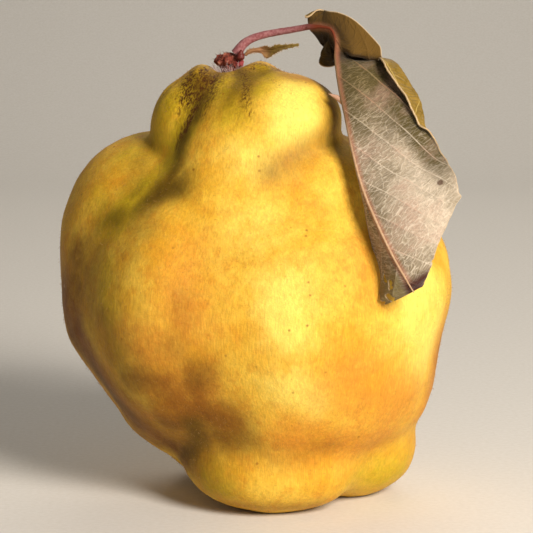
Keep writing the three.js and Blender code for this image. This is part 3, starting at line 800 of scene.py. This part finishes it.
def leafFelt():  # underside of a dried quince leaf: buff felt, with a net of paler veins standing out of it
    m, tree, surface = material("leafFelt")
    spot = add(tree, "TexCoord", {}, "Object")
    flat = add(tree, "UVMap", {}, uv_map="UVMap")
    along, across, edge, vein, sore = (add(tree, "Attribute", {}, "Fac", attribute_name=name)
                                       for name in ("along", "across", "edge", "vein", "sore"))
    wide = add(tree, "Math", {0: across}, operation="ABSOLUTE")
    patch = add(tree, "TexNoise", {"Vector": spot, "Scale": 140.0, "Detail": 5.0, "Roughness": 0.6})
    fibre = add(tree, "TexNoise", {"Vector": spot, "Scale": 2600.0, "Detail": 3.0, "Roughness": 0.7})
    bend = add(tree, "TexNoise", {"Vector": spot, "Scale": 350.0, "Detail": 3.0}, "Color")
    bend = add(tree, "Mix", {0: 0.008, 4: flat, 5: bend}, 1, data_type="VECTOR")
    cells = add(tree, "Mapping", {"Vector": bend, "Scale": (100 / felt["net"][0], 100 / felt["net"][1], 1.0)})
    cells = add(tree, "TexVoronoi", {"Vector": cells, "Scale": 1.0}, feature="DISTANCE_TO_EDGE")
    net = add(tree, "MapRange", {0: cells, 1: 0.0, 2: 0.1, 3: 1.3, 4: 0.0}, **softly)
    for apart, long, broad, bold in felt["threads"]:
        thread = add(tree, "Mapping", {"Vector": bend, "Scale": (100 / apart, 100 / long, 1.0)})
        thread = add(tree, "TexNoise", {"Vector": thread, "Scale": 1.0, "Detail": 2.0})
        thread = add(tree, "Math", {0: thread, 1: 0.5}, operation="SUBTRACT")
        thread = add(tree, "Math", {0: thread}, operation="ABSOLUTE")
        thread = add(tree, "MapRange", {0: thread, 1: 0.0, 2: broad, 3: 1.0, 4: 0.0}, **softly)
        net = add(tree, "Math", {0: thread, 1: bold, 2: net}, operation="MULTIPLY_ADD")
    net = add(tree, "MapRange", {0: net, 1: 0.2, 2: 2.2, 3: 0.0, 4: 1.0})

    # from dull olive-brown near the stalk to pale buff at the broad end, partly painted shade and light, as
    # the upper part faces away from the light and the lower part towards it; painted shade at the upper right
    # under the rolled margin; rosy in patches
    toneAndLightAlong = add(tree, "MapRange", {0: along, 1: 17.0, 2: 36.0, 3: 0.0, 4: 1.0}, **softly)
    color = add(tree, "Mix", {0: toneAndLightAlong, 6: felt["new"], 7: felt["grey"]}, 2, **inColor)
    pale = add(tree, "MapRange", {0: across, 1: 1.5, 2: 10.0, 3: 0.1, 4: 1.0})
    light = add(tree, "MapRange", {0: along, 1: 24.0, 2: 44.0, 3: 0.0, 4: 1.0})
    pale = add(tree, "Math", {0: pale, 1: light}, operation="MULTIPLY")
    color = add(tree, "Mix", {0: pale, 6: color, 7: felt["pale"]}, 2, **inColor)
    upperRightShade = add(tree, "Math", {0: along, 1: -0.32, 2: across}, operation="MULTIPLY_ADD")
    upperRightShade = add(tree, "MapRange", {0: upperRightShade, 1: -2.0, 2: 2.0, 3: 0.0, 4: 0.95}, **softly)
    upper = add(tree, "MapRange", {0: along, 1: 41.0, 2: 52.0, 3: 1.0, 4: 0.0})
    upperRightShade = add(tree, "Math", {0: upperRightShade, 1: upper}, operation="MULTIPLY")
    color = add(tree, "Mix", {0: upperRightShade, 6: color, 7: felt["new"]}, 2, **inColor)
    rosy = add(tree, "MapRange", {0: patch, 1: 0.5, 2: 0.68, 3: 0.0, 4: 0.45})
    color = add(tree, "Mix", {0: rosy, 6: color, 7: felt["pink"]}, 2, **inColor)
    dull = add(tree, "MapRange", {0: patch, 1: 0.52, 2: 0.34, 3: 0.0, 4: 0.6})
    color = add(tree, "Mix", {0: dull, 6: color, 7: felt["new"]}, 2, **inColor)
    fuzz = add(tree, "MapRange", {0: fibre, 1: 0.3, 2: 0.7, 3: 0.78, 4: 1.2})
    color = add(tree, "Mix", {0: 1.0, 6: color, 7: fuzz}, 2, **inColor, blend_type="MULTIPLY")
    nearer, farther = felt["vein"]
    lines = add(tree, "Mix", {0: toneAndLightAlong, 6: nearer, 7: farther}, 2, **inColor)
    share = add(tree, "MapRange", {0: upperRightShade, 1: 0.0, 2: 0.95, 3: 0.6, 4: 0.25})
    share = add(tree, "Math", {0: net, 1: share}, operation="MULTIPLY")
    color = add(tree, "Mix", {0: share, 6: color, 7: lines}, 2, **inColor)
    side = add(tree, "MapRange", {0: vein, 1: 0.02, 2: 0.24, 3: 0.6, 4: 0.0}, **softly)
    redder = add(tree, "MapRange", {0: patch, 1: 0.45, 2: 0.6, 3: 0.0, 4: 0.6})
    lines = add(tree, "Mix", {0: redder, 6: lines, 7: felt["redVein"]}, 2, **inColor)
    color = add(tree, "Mix", {0: side, 6: color, 7: lines}, 2, **inColor)
    sore = add(tree, "MapRange", {0: sore, 1: 0.2, 2: 0.9, 3: 0.0, 4: 0.8})
    color = add(tree, "Mix", {0: sore, 6: color, 7: felt["spot"]}, 2, **inColor)

    # bare ochre at the stalk end; painted shade under its fold and beside the midrib near the stalk, and
    # painted shadow on the left half behind the stalk; rosy beside the midrib, olive where the tip is torn
    # and dark red where it curls, partly painted shade there
    left = add(tree, "MapRange", {0: across, 1: -2.0, 2: -0.6, 3: 1.0, 4: 0.0})
    begun = add(tree, "MapRange", {0: along, 1: 9.0, 2: 12.0, 3: 0.9, 4: 0.0}, **softly)
    ended = add(tree, "MapRange", {0: along, 1: 57.0, 2: 61.0, 3: 0.0, 4: 0.8}, **softly)
    right = add(tree, "Math", {0: 1.0, 1: left}, operation="SUBTRACT")
    tip = add(tree, "MapRange", {0: along, 1: 62.0, 2: 64.0, 3: 0.0, 4: 0.95}, **softly)
    beside = add(tree, "MapRange", {0: across, 1: 1.0, 2: 5.0, 3: 0.4, 4: 0.0}, **softly)
    sheltered = add(tree, "MapRange", {0: along, 1: 14.0, 2: 26.0, 3: 1.0, 4: 0.0})
    zones = [
        ("shade", add(tree, "MapRange", {0: along, 1: 11.0, 2: 15.0, 3: 0.9, 4: 0.0}, **softly)),
        ("base", begun),
        ("shade", add(tree, "Math", {0: beside, 1: sheltered}, operation="MULTIPLY")),
        ("flapShadow", add(tree, "Math", {0: left, 1: begun}, operation="MULTIPLY")),
        ("redVein", add(tree, "MapRange", {0: wide, 1: 0.3, 2: 1.3, 3: 0.5, 4: 0.0}, **softly)),
        ("torn", add(tree, "Math", {0: left, 1: ended}, operation="MULTIPLY")),
        ("curled", add(tree, "Math", {0: right, 1: tip}, operation="MULTIPLY")),
        ("bleached", add(tree, "MapRange", {0: edge, 1: 0.06, 2: 0.22, 3: 0.8, 4: 0.0}, **softly)),
    ]
    for name, share in zones:
        color = add(tree, "Mix", {0: share, 6: color, 7: felt[name]}, 2, **inColor)
    tree.links.new(color, surface["Base Color"])

    surface["Roughness"].default_value = 0.85
    surface["Specular IOR Level"].default_value = 0.2
    surface["Sheen Weight"].default_value = 0.1
    surface["Sheen Roughness"].default_value = 0.5
    relief = add(tree, "Math", {0: net, 1: side}, operation="MAXIMUM")
    relief = add(tree, "Math", {0: fibre, 1: 0.6, 2: relief}, operation="MULTIPLY_ADD")
    bump = add(tree, "Bump", {"Strength": 0.6, "Distance": 0.0002, "Height": relief})
    tree.links.new(bump, surface["Normal"])
    return m


upperFace = {
    "olive": "#745b16",
    "ochre": "#91742a",
    "brown": "#6b4a1e",
    "net": "#5d5018",
    "vein": "#bda45c",
    "margin": ("#d0b78f", "#9c7d54"),
}


def leafFace():  # upper face: leathery, olive gone ochre, the veins sunk into it
    m, tree, surface = material("leafFace")
    spot = add(tree, "TexCoord", {}, "Object")
    flat = add(tree, "UVMap", {}, uv_map="UVMap")
    along, across, edge, vein = (add(tree, "Attribute", {}, "Fac", attribute_name=name)
                                 for name in ("along", "across", "edge", "vein"))
    patch = add(tree, "TexNoise", {"Vector": spot, "Scale": 220.0, "Detail": 6.0, "Roughness": 0.65})
    cells = add(tree, "Mapping", {"Vector": flat, "Scale": (90.0, 55.0, 1.0)})
    cells = add(tree, "TexVoronoi", {"Vector": cells, "Scale": 1.0}, feature="DISTANCE_TO_EDGE")
    net = add(tree, "MapRange", {0: cells, 1: 0.0, 2: 0.12, 3: 1.0, 4: 0.0})
    side = add(tree, "MapRange", {0: vein, 1: 0.1, 2: 0.4, 3: 1.0, 4: 0.0}, **softly)
    color = add(tree, "MapRange", {0: patch, 1: 0.38, 2: 0.62, 3: 0.0, 4: 1.0})
    color = add(tree, "Mix", {0: color, 6: upperFace["olive"], 7: upperFace["ochre"]}, 2, **inColor)
    brown = add(tree, "MapRange", {0: patch, 1: 0.62, 2: 0.74, 3: 0.0, 4: 0.8})
    color = add(tree, "Mix", {0: brown, 6: color, 7: upperFace["brown"]}, 2, **inColor)
    for share, code, most in ((net, upperFace["net"], 0.35), (side, upperFace["vein"], 0.6)):
        share = add(tree, "Math", {0: share, 1: most}, operation="MULTIPLY")
        color = add(tree, "Mix", {0: share, 6: color, 7: code}, 2, **inColor)
    # painted shade on the left half near the stalk, where it lies behind the midrib
    left = add(tree, "MapRange", {0: across, 1: -2.0, 2: -0.6, 3: 1.0, 4: 0.0})
    behind = add(tree, "MapRange", {0: along, 1: 12.0, 2: 20.0, 3: 0.9, 4: 0.3})
    behind = add(tree, "Math", {0: left, 1: behind}, operation="MULTIPLY")
    color = add(tree, "Mix", {0: behind, 6: color, 7: felt["flapShadow"]}, 2, **inColor)
    margin = add(tree, "MapRange", {0: edge, 1: 0.12, 2: 0.4, 3: 0.8, 4: 0.0}, **softly)
    color = add(tree, "Mix", {0: margin, 6: color, 7: felt["bleached"]}, 2, **inColor)
    tree.links.new(color, surface["Base Color"])
    surface["Roughness"].default_value = 0.55
    surface["Specular IOR Level"].default_value = 0.35
    relief = add(tree, "Math", {0: net, 1: side}, operation="MAXIMUM")
    bump = add(tree, "Bump", {"Strength": 0.6, "Distance": 0.0002, "Height": relief}, invert=True)
    tree.links.new(bump, surface["Normal"])
    return m


def leafMargin():  # the bare edge of the blade, bleached
    m, tree, surface = material("leafMargin")
    spot = add(tree, "TexCoord", {}, "Object")
    patch = add(tree, "TexNoise", {"Vector": spot, "Scale": 700.0, "Detail": 3.0})
    light, dark = upperFace["margin"]
    color = add(tree, "Mix", {0: patch, 6: light, 7: dark}, 2, **inColor)
    tree.links.new(color, surface["Base Color"])
    surface["Roughness"].default_value = 0.8
    return m


stalk = {
    "path": [(-4, -0.2, 95.4), (-3.2, -0.5, 96.7), (-2, -0.8, 97.9), (0, -1.2, 98.9), (3.4, -2, 99.8),
             (7.6, -4, 100.6), (11.1, -6, 101.3), (12.3, -7, 101.4)],
    "radii": [1.25, 1.02, 0.9, 0.82, 0.74, 0.68, 0.63, 0.5],
    "rib": [0.62, 0.46, 0.32, 0.25, 0.21, 0.19, 0.2, 0.22, 0.25, 0.27, 0.27, 0.24, 0.2, 0.12],
    "proud": 0.16,
    "hairs": 1600,
    "hairLength": (0.25, 0.6),
    "hairWidth": 0.022,
    "rose": ("#86494c", "#a87476"),
    "ruddy": "#6f3019",
    "ruddyFrom": (0.0085, 0.0125),  # metres along X, where rose turns to ruddy
    "tan": "#6a5034",
    "cream": ("#c9ae8e", "#9a7050"),
    "down": ("#cfb3b0", "#a87d7c"),
}


def makeStalk():
    piece, p, _ = stem("leafStalk", stalk["path"], stalk["radii"], 20, 60)
    swell = 0.05 * wobble(p, 1.3, 4) + 0.03 * wobble(p, 0.5, 2)
    place(piece, toRow(p + normals(piece) * swell[:, None]))
    finished(piece, "leaf", "dried_leaf", stalkSkin("stalkSkin"))
    mid = np.array([s[0] for s in blade["stations"]], float)
    along = unit(np.gradient(mid, axis=0))
    front = unit(np.array([0, -1.0, 0]) + along * along[:, 1:2])
    rib, q, _ = stem("midrib", mid + stalk["proud"] * front, stalk["rib"], 12, 150)
    place(rib, toRow(q + normals(rib) * (0.04 * wobble(q, 0.9, 6))[:, None]))
    finished(rib, "leaf", "dried_leaf", stalkSkin("midribSkin"))
    chosen = random.integers(0, len(p), stalk["hairs"])
    roots, ways = p[chosen], normals(piece)[chosen] + random.normal(0, 0.35, (stalk["hairs"], 3))
    lengths = random.uniform(*stalk["hairLength"], len(roots))
    fringe = hairs("stalkDown", roots, ways, lengths, stalk["hairWidth"])
    return finished(fringe, "leaf", "dried_leaf", paleHair("stalkHair", *stalk["down"]), fine=False)


stub = {  # the withered point of a side shoot that looks out behind the midrib
    "path": [(18.1, -16, 86.5), (16.9, -15.9, 87.3), (14.9, -15.8, 88.2)],
    "radii": [0.8, 0.6, 0.06],
    "color": ("#d0ab92", "#a57f68"),
}


def makeStub():
    piece, _, _ = stem("leafStub", stub["path"], stub["radii"], 12, 10)
    return finished(piece, "leaf", "dried_leaf", paleHair("stubSkin", *stub["color"]))


def stalkSkin(name):  # rosy leaf stalk, dull with down, turning orange and then cream along the midrib
    m, tree, surface = material(name)
    spot = add(tree, "TexCoord", {}, "Object")
    parts = add(tree, "SeparateXYZ", {0: spot}).node.outputs
    fine = add(tree, "TexNoise", {"Vector": spot, "Scale": 1800.0, "Detail": 4.0})
    color = add(tree, "MapRange", {0: fine, 1: 0.35, 2: 0.65, 3: 0.0, 4: 1.0})
    dark, light = stalk["rose"]
    color = add(tree, "Mix", {0: color, 6: dark, 7: light}, 2, **inColor)
    begins, full = stalk["ruddyFrom"]
    ruddy = add(tree, "MapRange", {0: parts["X"], 1: begins, 2: full, 3: 0.0, 4: 1.0})
    color = add(tree, "Mix", {0: ruddy, 6: color, 7: stalk["ruddy"]}, 2, **inColor)
    light, dark = stalk["cream"]
    pale = add(tree, "Mix", {0: fine, 6: light, 7: dark}, 2, **inColor)
    for code, high, low in ((stalk["tan"], 0.1, 0.095), (pale, 0.084, 0.074)):
        lower = add(tree, "MapRange", {0: parts["Z"], 1: high, 2: low, 3: 0.0, 4: 1.0})
        lower = add(tree, "Math", {0: lower, 1: ruddy}, operation="MULTIPLY")
        color = add(tree, "Mix", {0: lower, 6: color, 7: code}, 2, **inColor)
    tree.links.new(color, surface["Base Color"])
    surface["Roughness"].default_value = 0.7
    surface["Specular IOR Level"].default_value = 0.3
    bump = add(tree, "Bump", {"Strength": 0.5, "Distance": 0.0001, "Height": fine})
    tree.links.new(bump, surface["Normal"])
    return m


def paleHair(name, light, dark, detail=400.0):  # dry plant hair: pale and matt
    m, tree, surface = material(name)
    spot = add(tree, "TexCoord", {}, "Object")
    patch = add(tree, "TexNoise", {"Vector": spot, "Scale": detail})
    color = add(tree, "Mix", {0: patch, 6: light, 7: dark}, 2, **inColor)
    tree.links.new(color, surface["Base Color"])
    surface["Roughness"].default_value = 0.9
    surface["Specular IOR Level"].default_value = 0.2
    return m


# The spur: what is left of the twig at the fruit's crown, torn across, in a tuft of old down

spur = {
    "core": (-5.6, 0.3, 93.2),
    "reach": 6,
    "cuts": 54,
    "lobes": [
        ((-5.6, 0.4, 93.2), (2.1, 2.1, 2.3), 1),
        ((-7.4, 0.2, 94), (1.5, 1.5, 1.1), 0.6),
        ((-4, -0.5, 93.5), (1.5, 1.6, 1.1), 0.6),
        ((-5.9, -1.2, 93.9), (1.1, 1.1, 1.2), 0.4),
    ],
    "crags": [(1.1, 0.32), (0.5, 0.26), (0.24, 0.12)],
    "splinters": 120,
    "splinterLength": (0.35, 0.95),
    "splinterWidth": (0.06, 0.15),
    "tuft": 420,
    "tuftLength": (0.9, 2.3),
    "tuftRing": (1.2, 3.4),  # how far from the middle its hairs stand
    "bark": ("#5c2219", "#8c4638"),
    "bare": "#a8705a",
    "crack": "#2c120d",
    "rosy": "#a84a52",
    "wood": ("#a5654e", "#5a281c"),
    "down": ("#ddd0d0", "#98807f"),
}


def makeSpur():
    piece, rays, p, _ = swollen("spurStub", spur)
    crags = sum(height * wobble(p, size, size * 3) for size, height in spur["crags"])
    flutes = 0.09 * np.sin(9 * np.arctan2(rays[:, 1], rays[:, 0]) + 2 * wobble(p, 0.8, 8))
    p = p + rays * (crags + flutes * (1 - np.abs(rays[:, 2])))[:, None]
    place(piece, toRow(p))
    paint(piece, "crag", crags)
    finished(piece, "spur", "bark", spurBark())

    top = np.flatnonzero(rays[:, 2] > -0.1)
    chosen = random.choice(top, spur["splinters"])
    ways = rays[chosen] + random.normal(0, 0.5, (len(chosen), 3)) + (-0.3, 0, 0.3)
    chips = hairs("spurSplinters", p[chosen] - 0.15 * rays[chosen], ways,
                  random.uniform(*spur["splinterLength"], len(chosen)),
                  random.uniform(*spur["splinterWidth"], len(chosen)),
                  levels=2, bend=0.3, droop=random.normal(0, 1, (len(chosen), 3)))
    finished(chips, "spur", "bark", paleHair("splinterWood", *spur["wood"]))

    count = spur["tuft"]
    turn, out = random.uniform(0, 2 * math.pi, count), random.uniform(*spur["tuftRing"], count)
    foot = np.stack([-5.6 + out * np.cos(turn), 0.3 + out * np.sin(turn), 90.2 + 0.28 * out ** 1.6], 1)
    ways = np.stack([0.5 * np.cos(turn), 0.5 * np.sin(turn), np.ones(count)], 1)
    ways = ways + random.normal(0, 0.35, (count, 3))
    tuft = hairs("spurTuft", foot, ways, random.uniform(*spur["tuftLength"], count), 0.04, levels=4, bend=0.5,
                 droop=random.normal(0, 0.7, (count, 3)) + (0, 0, -0.3))
    return finished(tuft, "spur", "bark", paleHair("tuftHair", *spur["down"]), fine=False)


def spurBark():  # torn bark: red-brown, nearly black in its cracks, tan where the wood is bare
    m, tree, surface = material("spurBark")
    spot = add(tree, "TexCoord", {}, "Object")
    crag = add(tree, "Attribute", {}, "Fac", attribute_name="crag")
    patch = add(tree, "TexNoise", {"Vector": spot, "Scale": 1100.0, "Detail": 5.0, "Roughness": 0.65})
    color = add(tree, "MapRange", {0: patch, 1: 0.35, 2: 0.65, 3: 0.0, 4: 1.0})
    dark, light = spur["bark"]
    color = add(tree, "Mix", {0: color, 6: dark, 7: light}, 2, **inColor)
    bare = add(tree, "MapRange", {0: crag, 1: 0.12, 2: 0.3, 3: 0.0, 4: 0.8})
    color = add(tree, "Mix", {0: bare, 6: color, 7: spur["bare"]}, 2, **inColor)
    crack = add(tree, "MapRange", {0: crag, 1: -0.05, 2: -0.25, 3: 0.0, 4: 0.9})
    color = add(tree, "Mix", {0: crack, 6: color, 7: spur["crack"]}, 2, **inColor)
    rosy = add(tree, "SeparateXYZ", {0: spot})
    rosy = add(tree, "MapRange", {0: rosy, 1: -0.0044, 2: -0.0034, 3: 0.0, 4: 0.7})
    color = add(tree, "Mix", {0: rosy, 6: color, 7: spur["rosy"]}, 2, **inColor)
    tree.links.new(color, surface["Base Color"])
    surface["Roughness"].default_value = 0.85
    surface["Specular IOR Level"].default_value = 0.25
    bump = add(tree, "Bump", {"Strength": 0.8, "Distance": 0.0002, "Height": patch})
    tree.links.new(bump, surface["Normal"])
    return m


bud = {
    "core": (-3.2, -2.5, 94.9),
    "reach": 3,
    "cuts": 14,
    "lobes": [((-3.2, -2.5, 94.9), (0.75, 0.75, 0.9), 0.5), ((-3.1, -2.5, 95.6), (0.4, 0.4, 0.8), 0.5)],
    "scales": 9,
    "scale": {"rows": 12, "columns": 9, "wide": 75, "long": 0.95, "thick": 0.07, "apart": 137.5},
    "color": ("#3d0f0c", "#7a2a20"),
}


def makeBud():
    piece, _, p, _ = swollen("budHeart", bud)
    place(piece, toRow(p))
    finished(piece, "bud", "bud_scale", budScale("budHeart"))
    scale, core = bud["scale"], np.array(bud["core"])
    for k in range(bud["scales"]):  # pointed scales wrapped round the heart, each above the last
        bpy.ops.mesh.primitive_grid_add(x_subdivisions=scale["rows"], y_subdivisions=scale["columns"], size=1)
        leafy = named(f"budScale{k + 1}")
        flat = places(leafy) + 0.5
        v, w = flat[:, 0], 2 * flat[:, 1] - 1
        width = math.radians(scale["wide"]) * np.sqrt(np.clip(1 - v ** 2.2, 0, 1)) * 0.9
        turn = math.radians(k * scale["apart"]) + w * width
        low = -0.55 + 0.95 * k / bud["scales"]
        z = low + scale["long"] * v * (1 - 0.35 * k / bud["scales"])
        belly = np.sqrt(np.clip(1 - np.clip(z / 1.02, -1, 1) ** 2, 0.02, 1)) * 0.75
        belly = np.maximum(belly, 0.4 * np.sqrt(np.clip(1 - np.clip((z - 0.7) / 0.8, -1, 1) ** 2, 0.02, 1)))
        out = belly + 0.03 + 0.05 * (1 - k / bud["scales"]) + 0.12 * smooth(v, 0.75, 1)
        local = np.stack([out * np.cos(turn), out * np.sin(turn), z], 1)
        place(leafy, toRow(core + local))
        applied(leafy, "SOLIDIFY", thickness=scale["thick"] * mm, offset=0)
        finished(leafy, "bud", "bud_scale", budScale(f"budScale{k + 1}"))


def budScale(name):  # glossy dark red bud scale, browner and paler at its tip
    m, tree, surface = material(name)
    spot = add(tree, "TexCoord", {}, "Object")
    patch = add(tree, "TexNoise", {"Vector": spot, "Scale": 2500.0, "Detail": 3.0})
    dark, light = bud["color"]
    color = add(tree, "Mix", {0: patch, 6: dark, 7: light}, 2, **inColor)
    tree.links.new(color, surface["Base Color"])
    surface["Roughness"].default_value = 0.45
    bump = add(tree, "Bump", {"Strength": 0.3, "Distance": 0.0001, "Height": patch})
    tree.links.new(bump, surface["Normal"])
    return m


# The stipule: a narrow toothed leaflet beside the stalk's foot, dried and fringed with hairs

stipule = {
    "path": [(-2.2, -1.5, 95.2), (-1.2, -2, 96), (1.3, -3, 96.3), (3.4, -4, 96.2), (5.1, -5, 96.9),
             (9, -6, 97.7)],
    # half-widths above and below the axis, from the foot to the tip
    "above": [0.35, 0.4, 0.45, 0.6, 1.1, 0.8, 1, 0.5, 0.15],
    "below": [0.35, 0.4, 0.45, 0.6, 1.5, 0.7, 0.6, 0.4, 0.15],
    "rows": 150,
    "columns": 32,
    "thickness": 0.22,
    "teeth": 17,
    "tooth": 0.22,
    "stalk": [0.36, 0.34, 0.3, 0.26, 0.22, 0.2, 0.16, 0.1],  # its radii
    "hairs": 420,
    "olive": ("#54401a", "#8a7334"),
    "tan": "#a57a55",
    "brown": "#4d2f16",
    "down": ("#c7a878", "#94713f"),
}


def makeStipule():
    rows, columns = stipule["rows"], stipule["columns"]
    bpy.ops.mesh.primitive_grid_add(x_subdivisions=rows, y_subdivisions=columns, size=1)
    piece = named("stipule")
    flat = places(piece) + 0.5
    t, u = np.clip(flat[:, 0], 0, 1), 2 * np.clip(flat[:, 1], 0, 1) - 1
    line, ahead, behind = (through(stipule["path"], np.clip(t + step, 0, 1), 0.5)
                           for step in (0, 0.01, -0.01))
    along = unit(ahead - behind)
    up = np.array([0, -0.3, 1.0])
    up = unit(up - along * (along @ up)[:, None])
    front = np.cross(up, along)
    reach = np.where(u > 0, through(stipule["above"], t)[:, 0], through(stipule["below"], t)[:, 0])
    broad = smooth(t, 0.35, 0.5)
    saw = (t * stipule["teeth"]) % 1
    reach = reach + stipule["tooth"] * (saw - 0.5) * broad * np.abs(u) ** 3
    p = line + up * (u * reach)[:, None]
    out = np.abs(u)
    fold = 0.35 * out * broad + 0.25 * np.sin(9 * t + 2 * u) * broad * out + 0.1 * wobble(p, 0.9, 5)
    p = p - front * fold[:, None]
    place(piece, toRow(p))
    paint(piece, "rib", np.abs(u) * reach)
    paint(piece, "along", t)
    applied(piece, "SOLIDIFY", thickness=stipule["thickness"] * mm, offset=0)
    finished(piece, "stipule", "dried_stipule", stipuleSkin())
    axis, _, _ = stem("stipuleStalk", stipule["path"], stipule["stalk"], 10, 40)
    finished(axis, "stipule", "dried_stipule", stipuleSkin())
    rim = np.flatnonzero((np.abs(u) > 0.9) & (t > 0.1))
    chosen = random.choice(rim, stipule["hairs"])
    ways = up[chosen] * np.sign(u[chosen])[:, None] + random.normal(0, 0.4, (len(chosen), 3))
    ways = ways + 0.5 * along[chosen]
    lengths = random.uniform(*stalk["hairLength"], len(chosen))
    fringe = hairs("stipuleFringe", p[chosen], ways, lengths, stalk["hairWidth"])
    return finished(fringe, "stipule", "dried_stipule", paleHair("stipuleHair", *stipule["down"]), fine=False)


def stipuleSkin():  # thin dried leaflet: tan at its stalk, olive-gold with brown edges beyond
    m, tree, surface = material("stipuleSkin")
    spot = add(tree, "TexCoord", {}, "Object")
    away = add(tree, "SeparateXYZ", {0: spot})
    patch = add(tree, "TexNoise", {"Vector": spot, "Scale": 900.0, "Detail": 5.0, "Roughness": 0.65})
    color = add(tree, "MapRange", {0: patch, 1: 0.35, 2: 0.65, 3: 0.0, 4: 1.0})
    dark, light = stipule["olive"]
    color = add(tree, "Mix", {0: color, 6: dark, 7: light}, 2, **inColor)
    tan = add(tree, "MapRange", {0: away, 1: 0.0012, 2: 0.0035, 3: 1.0, 4: 0.0})
    color = add(tree, "Mix", {0: tan, 6: color, 7: stipule["tan"]}, 2, **inColor)
    brown = add(tree, "MapRange", {0: patch, 1: 0.58, 2: 0.7, 3: 0.0, 4: 0.8})
    color = add(tree, "Mix", {0: brown, 6: color, 7: stipule["brown"]}, 2, **inColor)
    tree.links.new(color, surface["Base Color"])
    surface["Roughness"].default_value = 0.75
    surface["Specular IOR Level"].default_value = 0.3
    bump = add(tree, "Bump", {"Strength": 0.6, "Distance": 0.0002, "Height": patch})
    tree.links.new(bump, surface["Normal"])
    return m


# The calyx: the dried eye in the basin under the fruit, five sepals round the old stamens

calyx = {
    "at": (8, 5, 5.2),
    "disc": (2.6, 1.4),
    "rings": [(0.5, 0.12), (0.5, -0.15), (0.6, -0.25), (0.5, 0.1)],  # how far in and how far out each goes
    "sepal": {"count": 5, "length": 4.6, "width": 3.4, "droop": 2.6, "lift": 1.2, "cup": 0.5, "thick": 0.35,
              "rows": 28, "columns": 18},
    "stamens": 26,
    "stamenLength": (1.6, 2.8),
    "brown": ("#3b2715", "#77583a"),
    "felt": "#a19078",
    "thread": ("#6e4b2e", "#3a2415"),
}


def makeCalyx():
    radius, height = calyx["disc"]
    bpy.ops.mesh.primitive_cylinder_add(vertices=64, radius=radius, depth=height, end_fill_type="NGON")
    disc = named("calyxDisc")
    edit(disc, "FACE")
    done()
    for face in disc.data.polygons:
        face.select = abs(face.normal.z) > 0.9
    bpy.ops.object.mode_set(mode="EDIT")
    for inset, push in calyx["rings"]:
        bpy.ops.mesh.inset(thickness=inset, depth=push)
    done()
    applied(disc, "BEVEL", width=0.2, segments=2, limit_method="ANGLE")
    applied(disc, "SUBSURF", levels=1, render_levels=1)
    p = places(disc)
    p = p + unit(p) * (0.12 * wobble(p, 0.7, 3) + 0.05 * np.sin(20 * np.arctan2(p[:, 1], p[:, 0])))[:, None]
    place(disc, toRow(p + calyx["at"]))
    finished(disc, "calyx", "dried_sepal", driedSepal("calyxDisc"))

    sepal = calyx["sepal"]
    for k in range(sepal["count"]):
        bpy.ops.mesh.primitive_grid_add(x_subdivisions=sepal["rows"], y_subdivisions=sepal["columns"], size=1)
        piece = named(f"sepal{k + 1}")
        flat = places(piece) + 0.5
        t, u = flat[:, 0], 2 * flat[:, 1] - 1
        half = sepal["width"] / 2 * (0.25 + 0.8 * np.sin(np.pi * np.minimum(0.2 + t, 1)))
        half = half + 0.12 * np.sin(38 * t) * np.abs(u) ** 4
        p = np.stack([u * half, sepal["lift"] + sepal["length"] * t,
                      sepal["cup"] * u * u - sepal["droop"] * t * t], 1)
        crumple = 0.2 * wobble(p + 9 * k, 1.3, 6) + 0.08 * wobble(p + 9 * k, 0.5, 2)
        p[:, 2] += crumple - 0.08 * np.exp(-(u / 0.08) ** 2)
        turn = 2 * math.pi * k / sepal["count"] + 0.06 * math.sin(5 * k)
        c, s = math.cos(turn), math.sin(turn)
        p = p @ np.array([[c, s, 0], [-s, c, 0], [0, 0, 1]])
        place(piece, toRow(p + calyx["at"]))
        applied(piece, "SOLIDIFY", thickness=sepal["thick"] * mm, offset=0)
        finished(piece, "calyx", "dried_sepal", driedSepal(f"sepal{k + 1}"))

    count = calyx["stamens"]
    turn, out = np.arange(count) * 2.4, random.uniform(0.5, 1.9, count)
    foot = np.array(calyx["at"]) + np.stack([out * np.cos(turn), out * np.sin(turn), np.full(count, -0.4)], 1)
    ways = np.stack([0.3 * np.cos(turn), 0.3 * np.sin(turn), -np.ones(count)], 1)
    ways = ways + random.normal(0, 0.25, (count, 3))
    threads = hairs("stamens", foot, ways, random.uniform(*calyx["stamenLength"], count), 0.12,
                    levels=4, bend=0.4, droop=random.normal(0, 0.6, (count, 3)))
    return finished(threads, "calyx", "dried_sepal", paleHair("stamenThread", *calyx["thread"]))


def driedSepal(name):  # dried sepal: brown, papery, grey where a little felt is left
    m, tree, surface = material(name)
    spot = add(tree, "TexCoord", {}, "Object")
    patch = add(tree, "TexNoise", {"Vector": spot, "Scale": 650.0, "Detail": 6.0, "Roughness": 0.65})
    color = add(tree, "MapRange", {0: patch, 1: 0.35, 2: 0.65, 3: 0.0, 4: 1.0})
    dark, light = calyx["brown"]
    color = add(tree, "Mix", {0: color, 6: dark, 7: light}, 2, **inColor)
    grey = add(tree, "MapRange", {0: patch, 1: 0.58, 2: 0.7, 3: 0.0, 4: 0.6})
    color = add(tree, "Mix", {0: grey, 6: color, 7: calyx["felt"]}, 2, **inColor)
    tree.links.new(color, surface["Base Color"])
    surface["Roughness"].default_value = 0.85
    surface["Specular IOR Level"].default_value = 0.2
    bump = add(tree, "Bump", {"Strength": 0.7, "Distance": 0.0002, "Height": patch})
    tree.links.new(bump, surface["Normal"])
    return m


setUpStudio()
makeFloor()
print("studio ready")
flesh = makeFruit()
makeDown(flesh)
print("fruit and its down ready")
makeBlade()
makeStalk()
makeStub()
print("leaf ready")
makeSpur()
makeBud()
makeStipule()
print("spur, bud and stipule ready")
makeCalyx()
print("calyx ready")
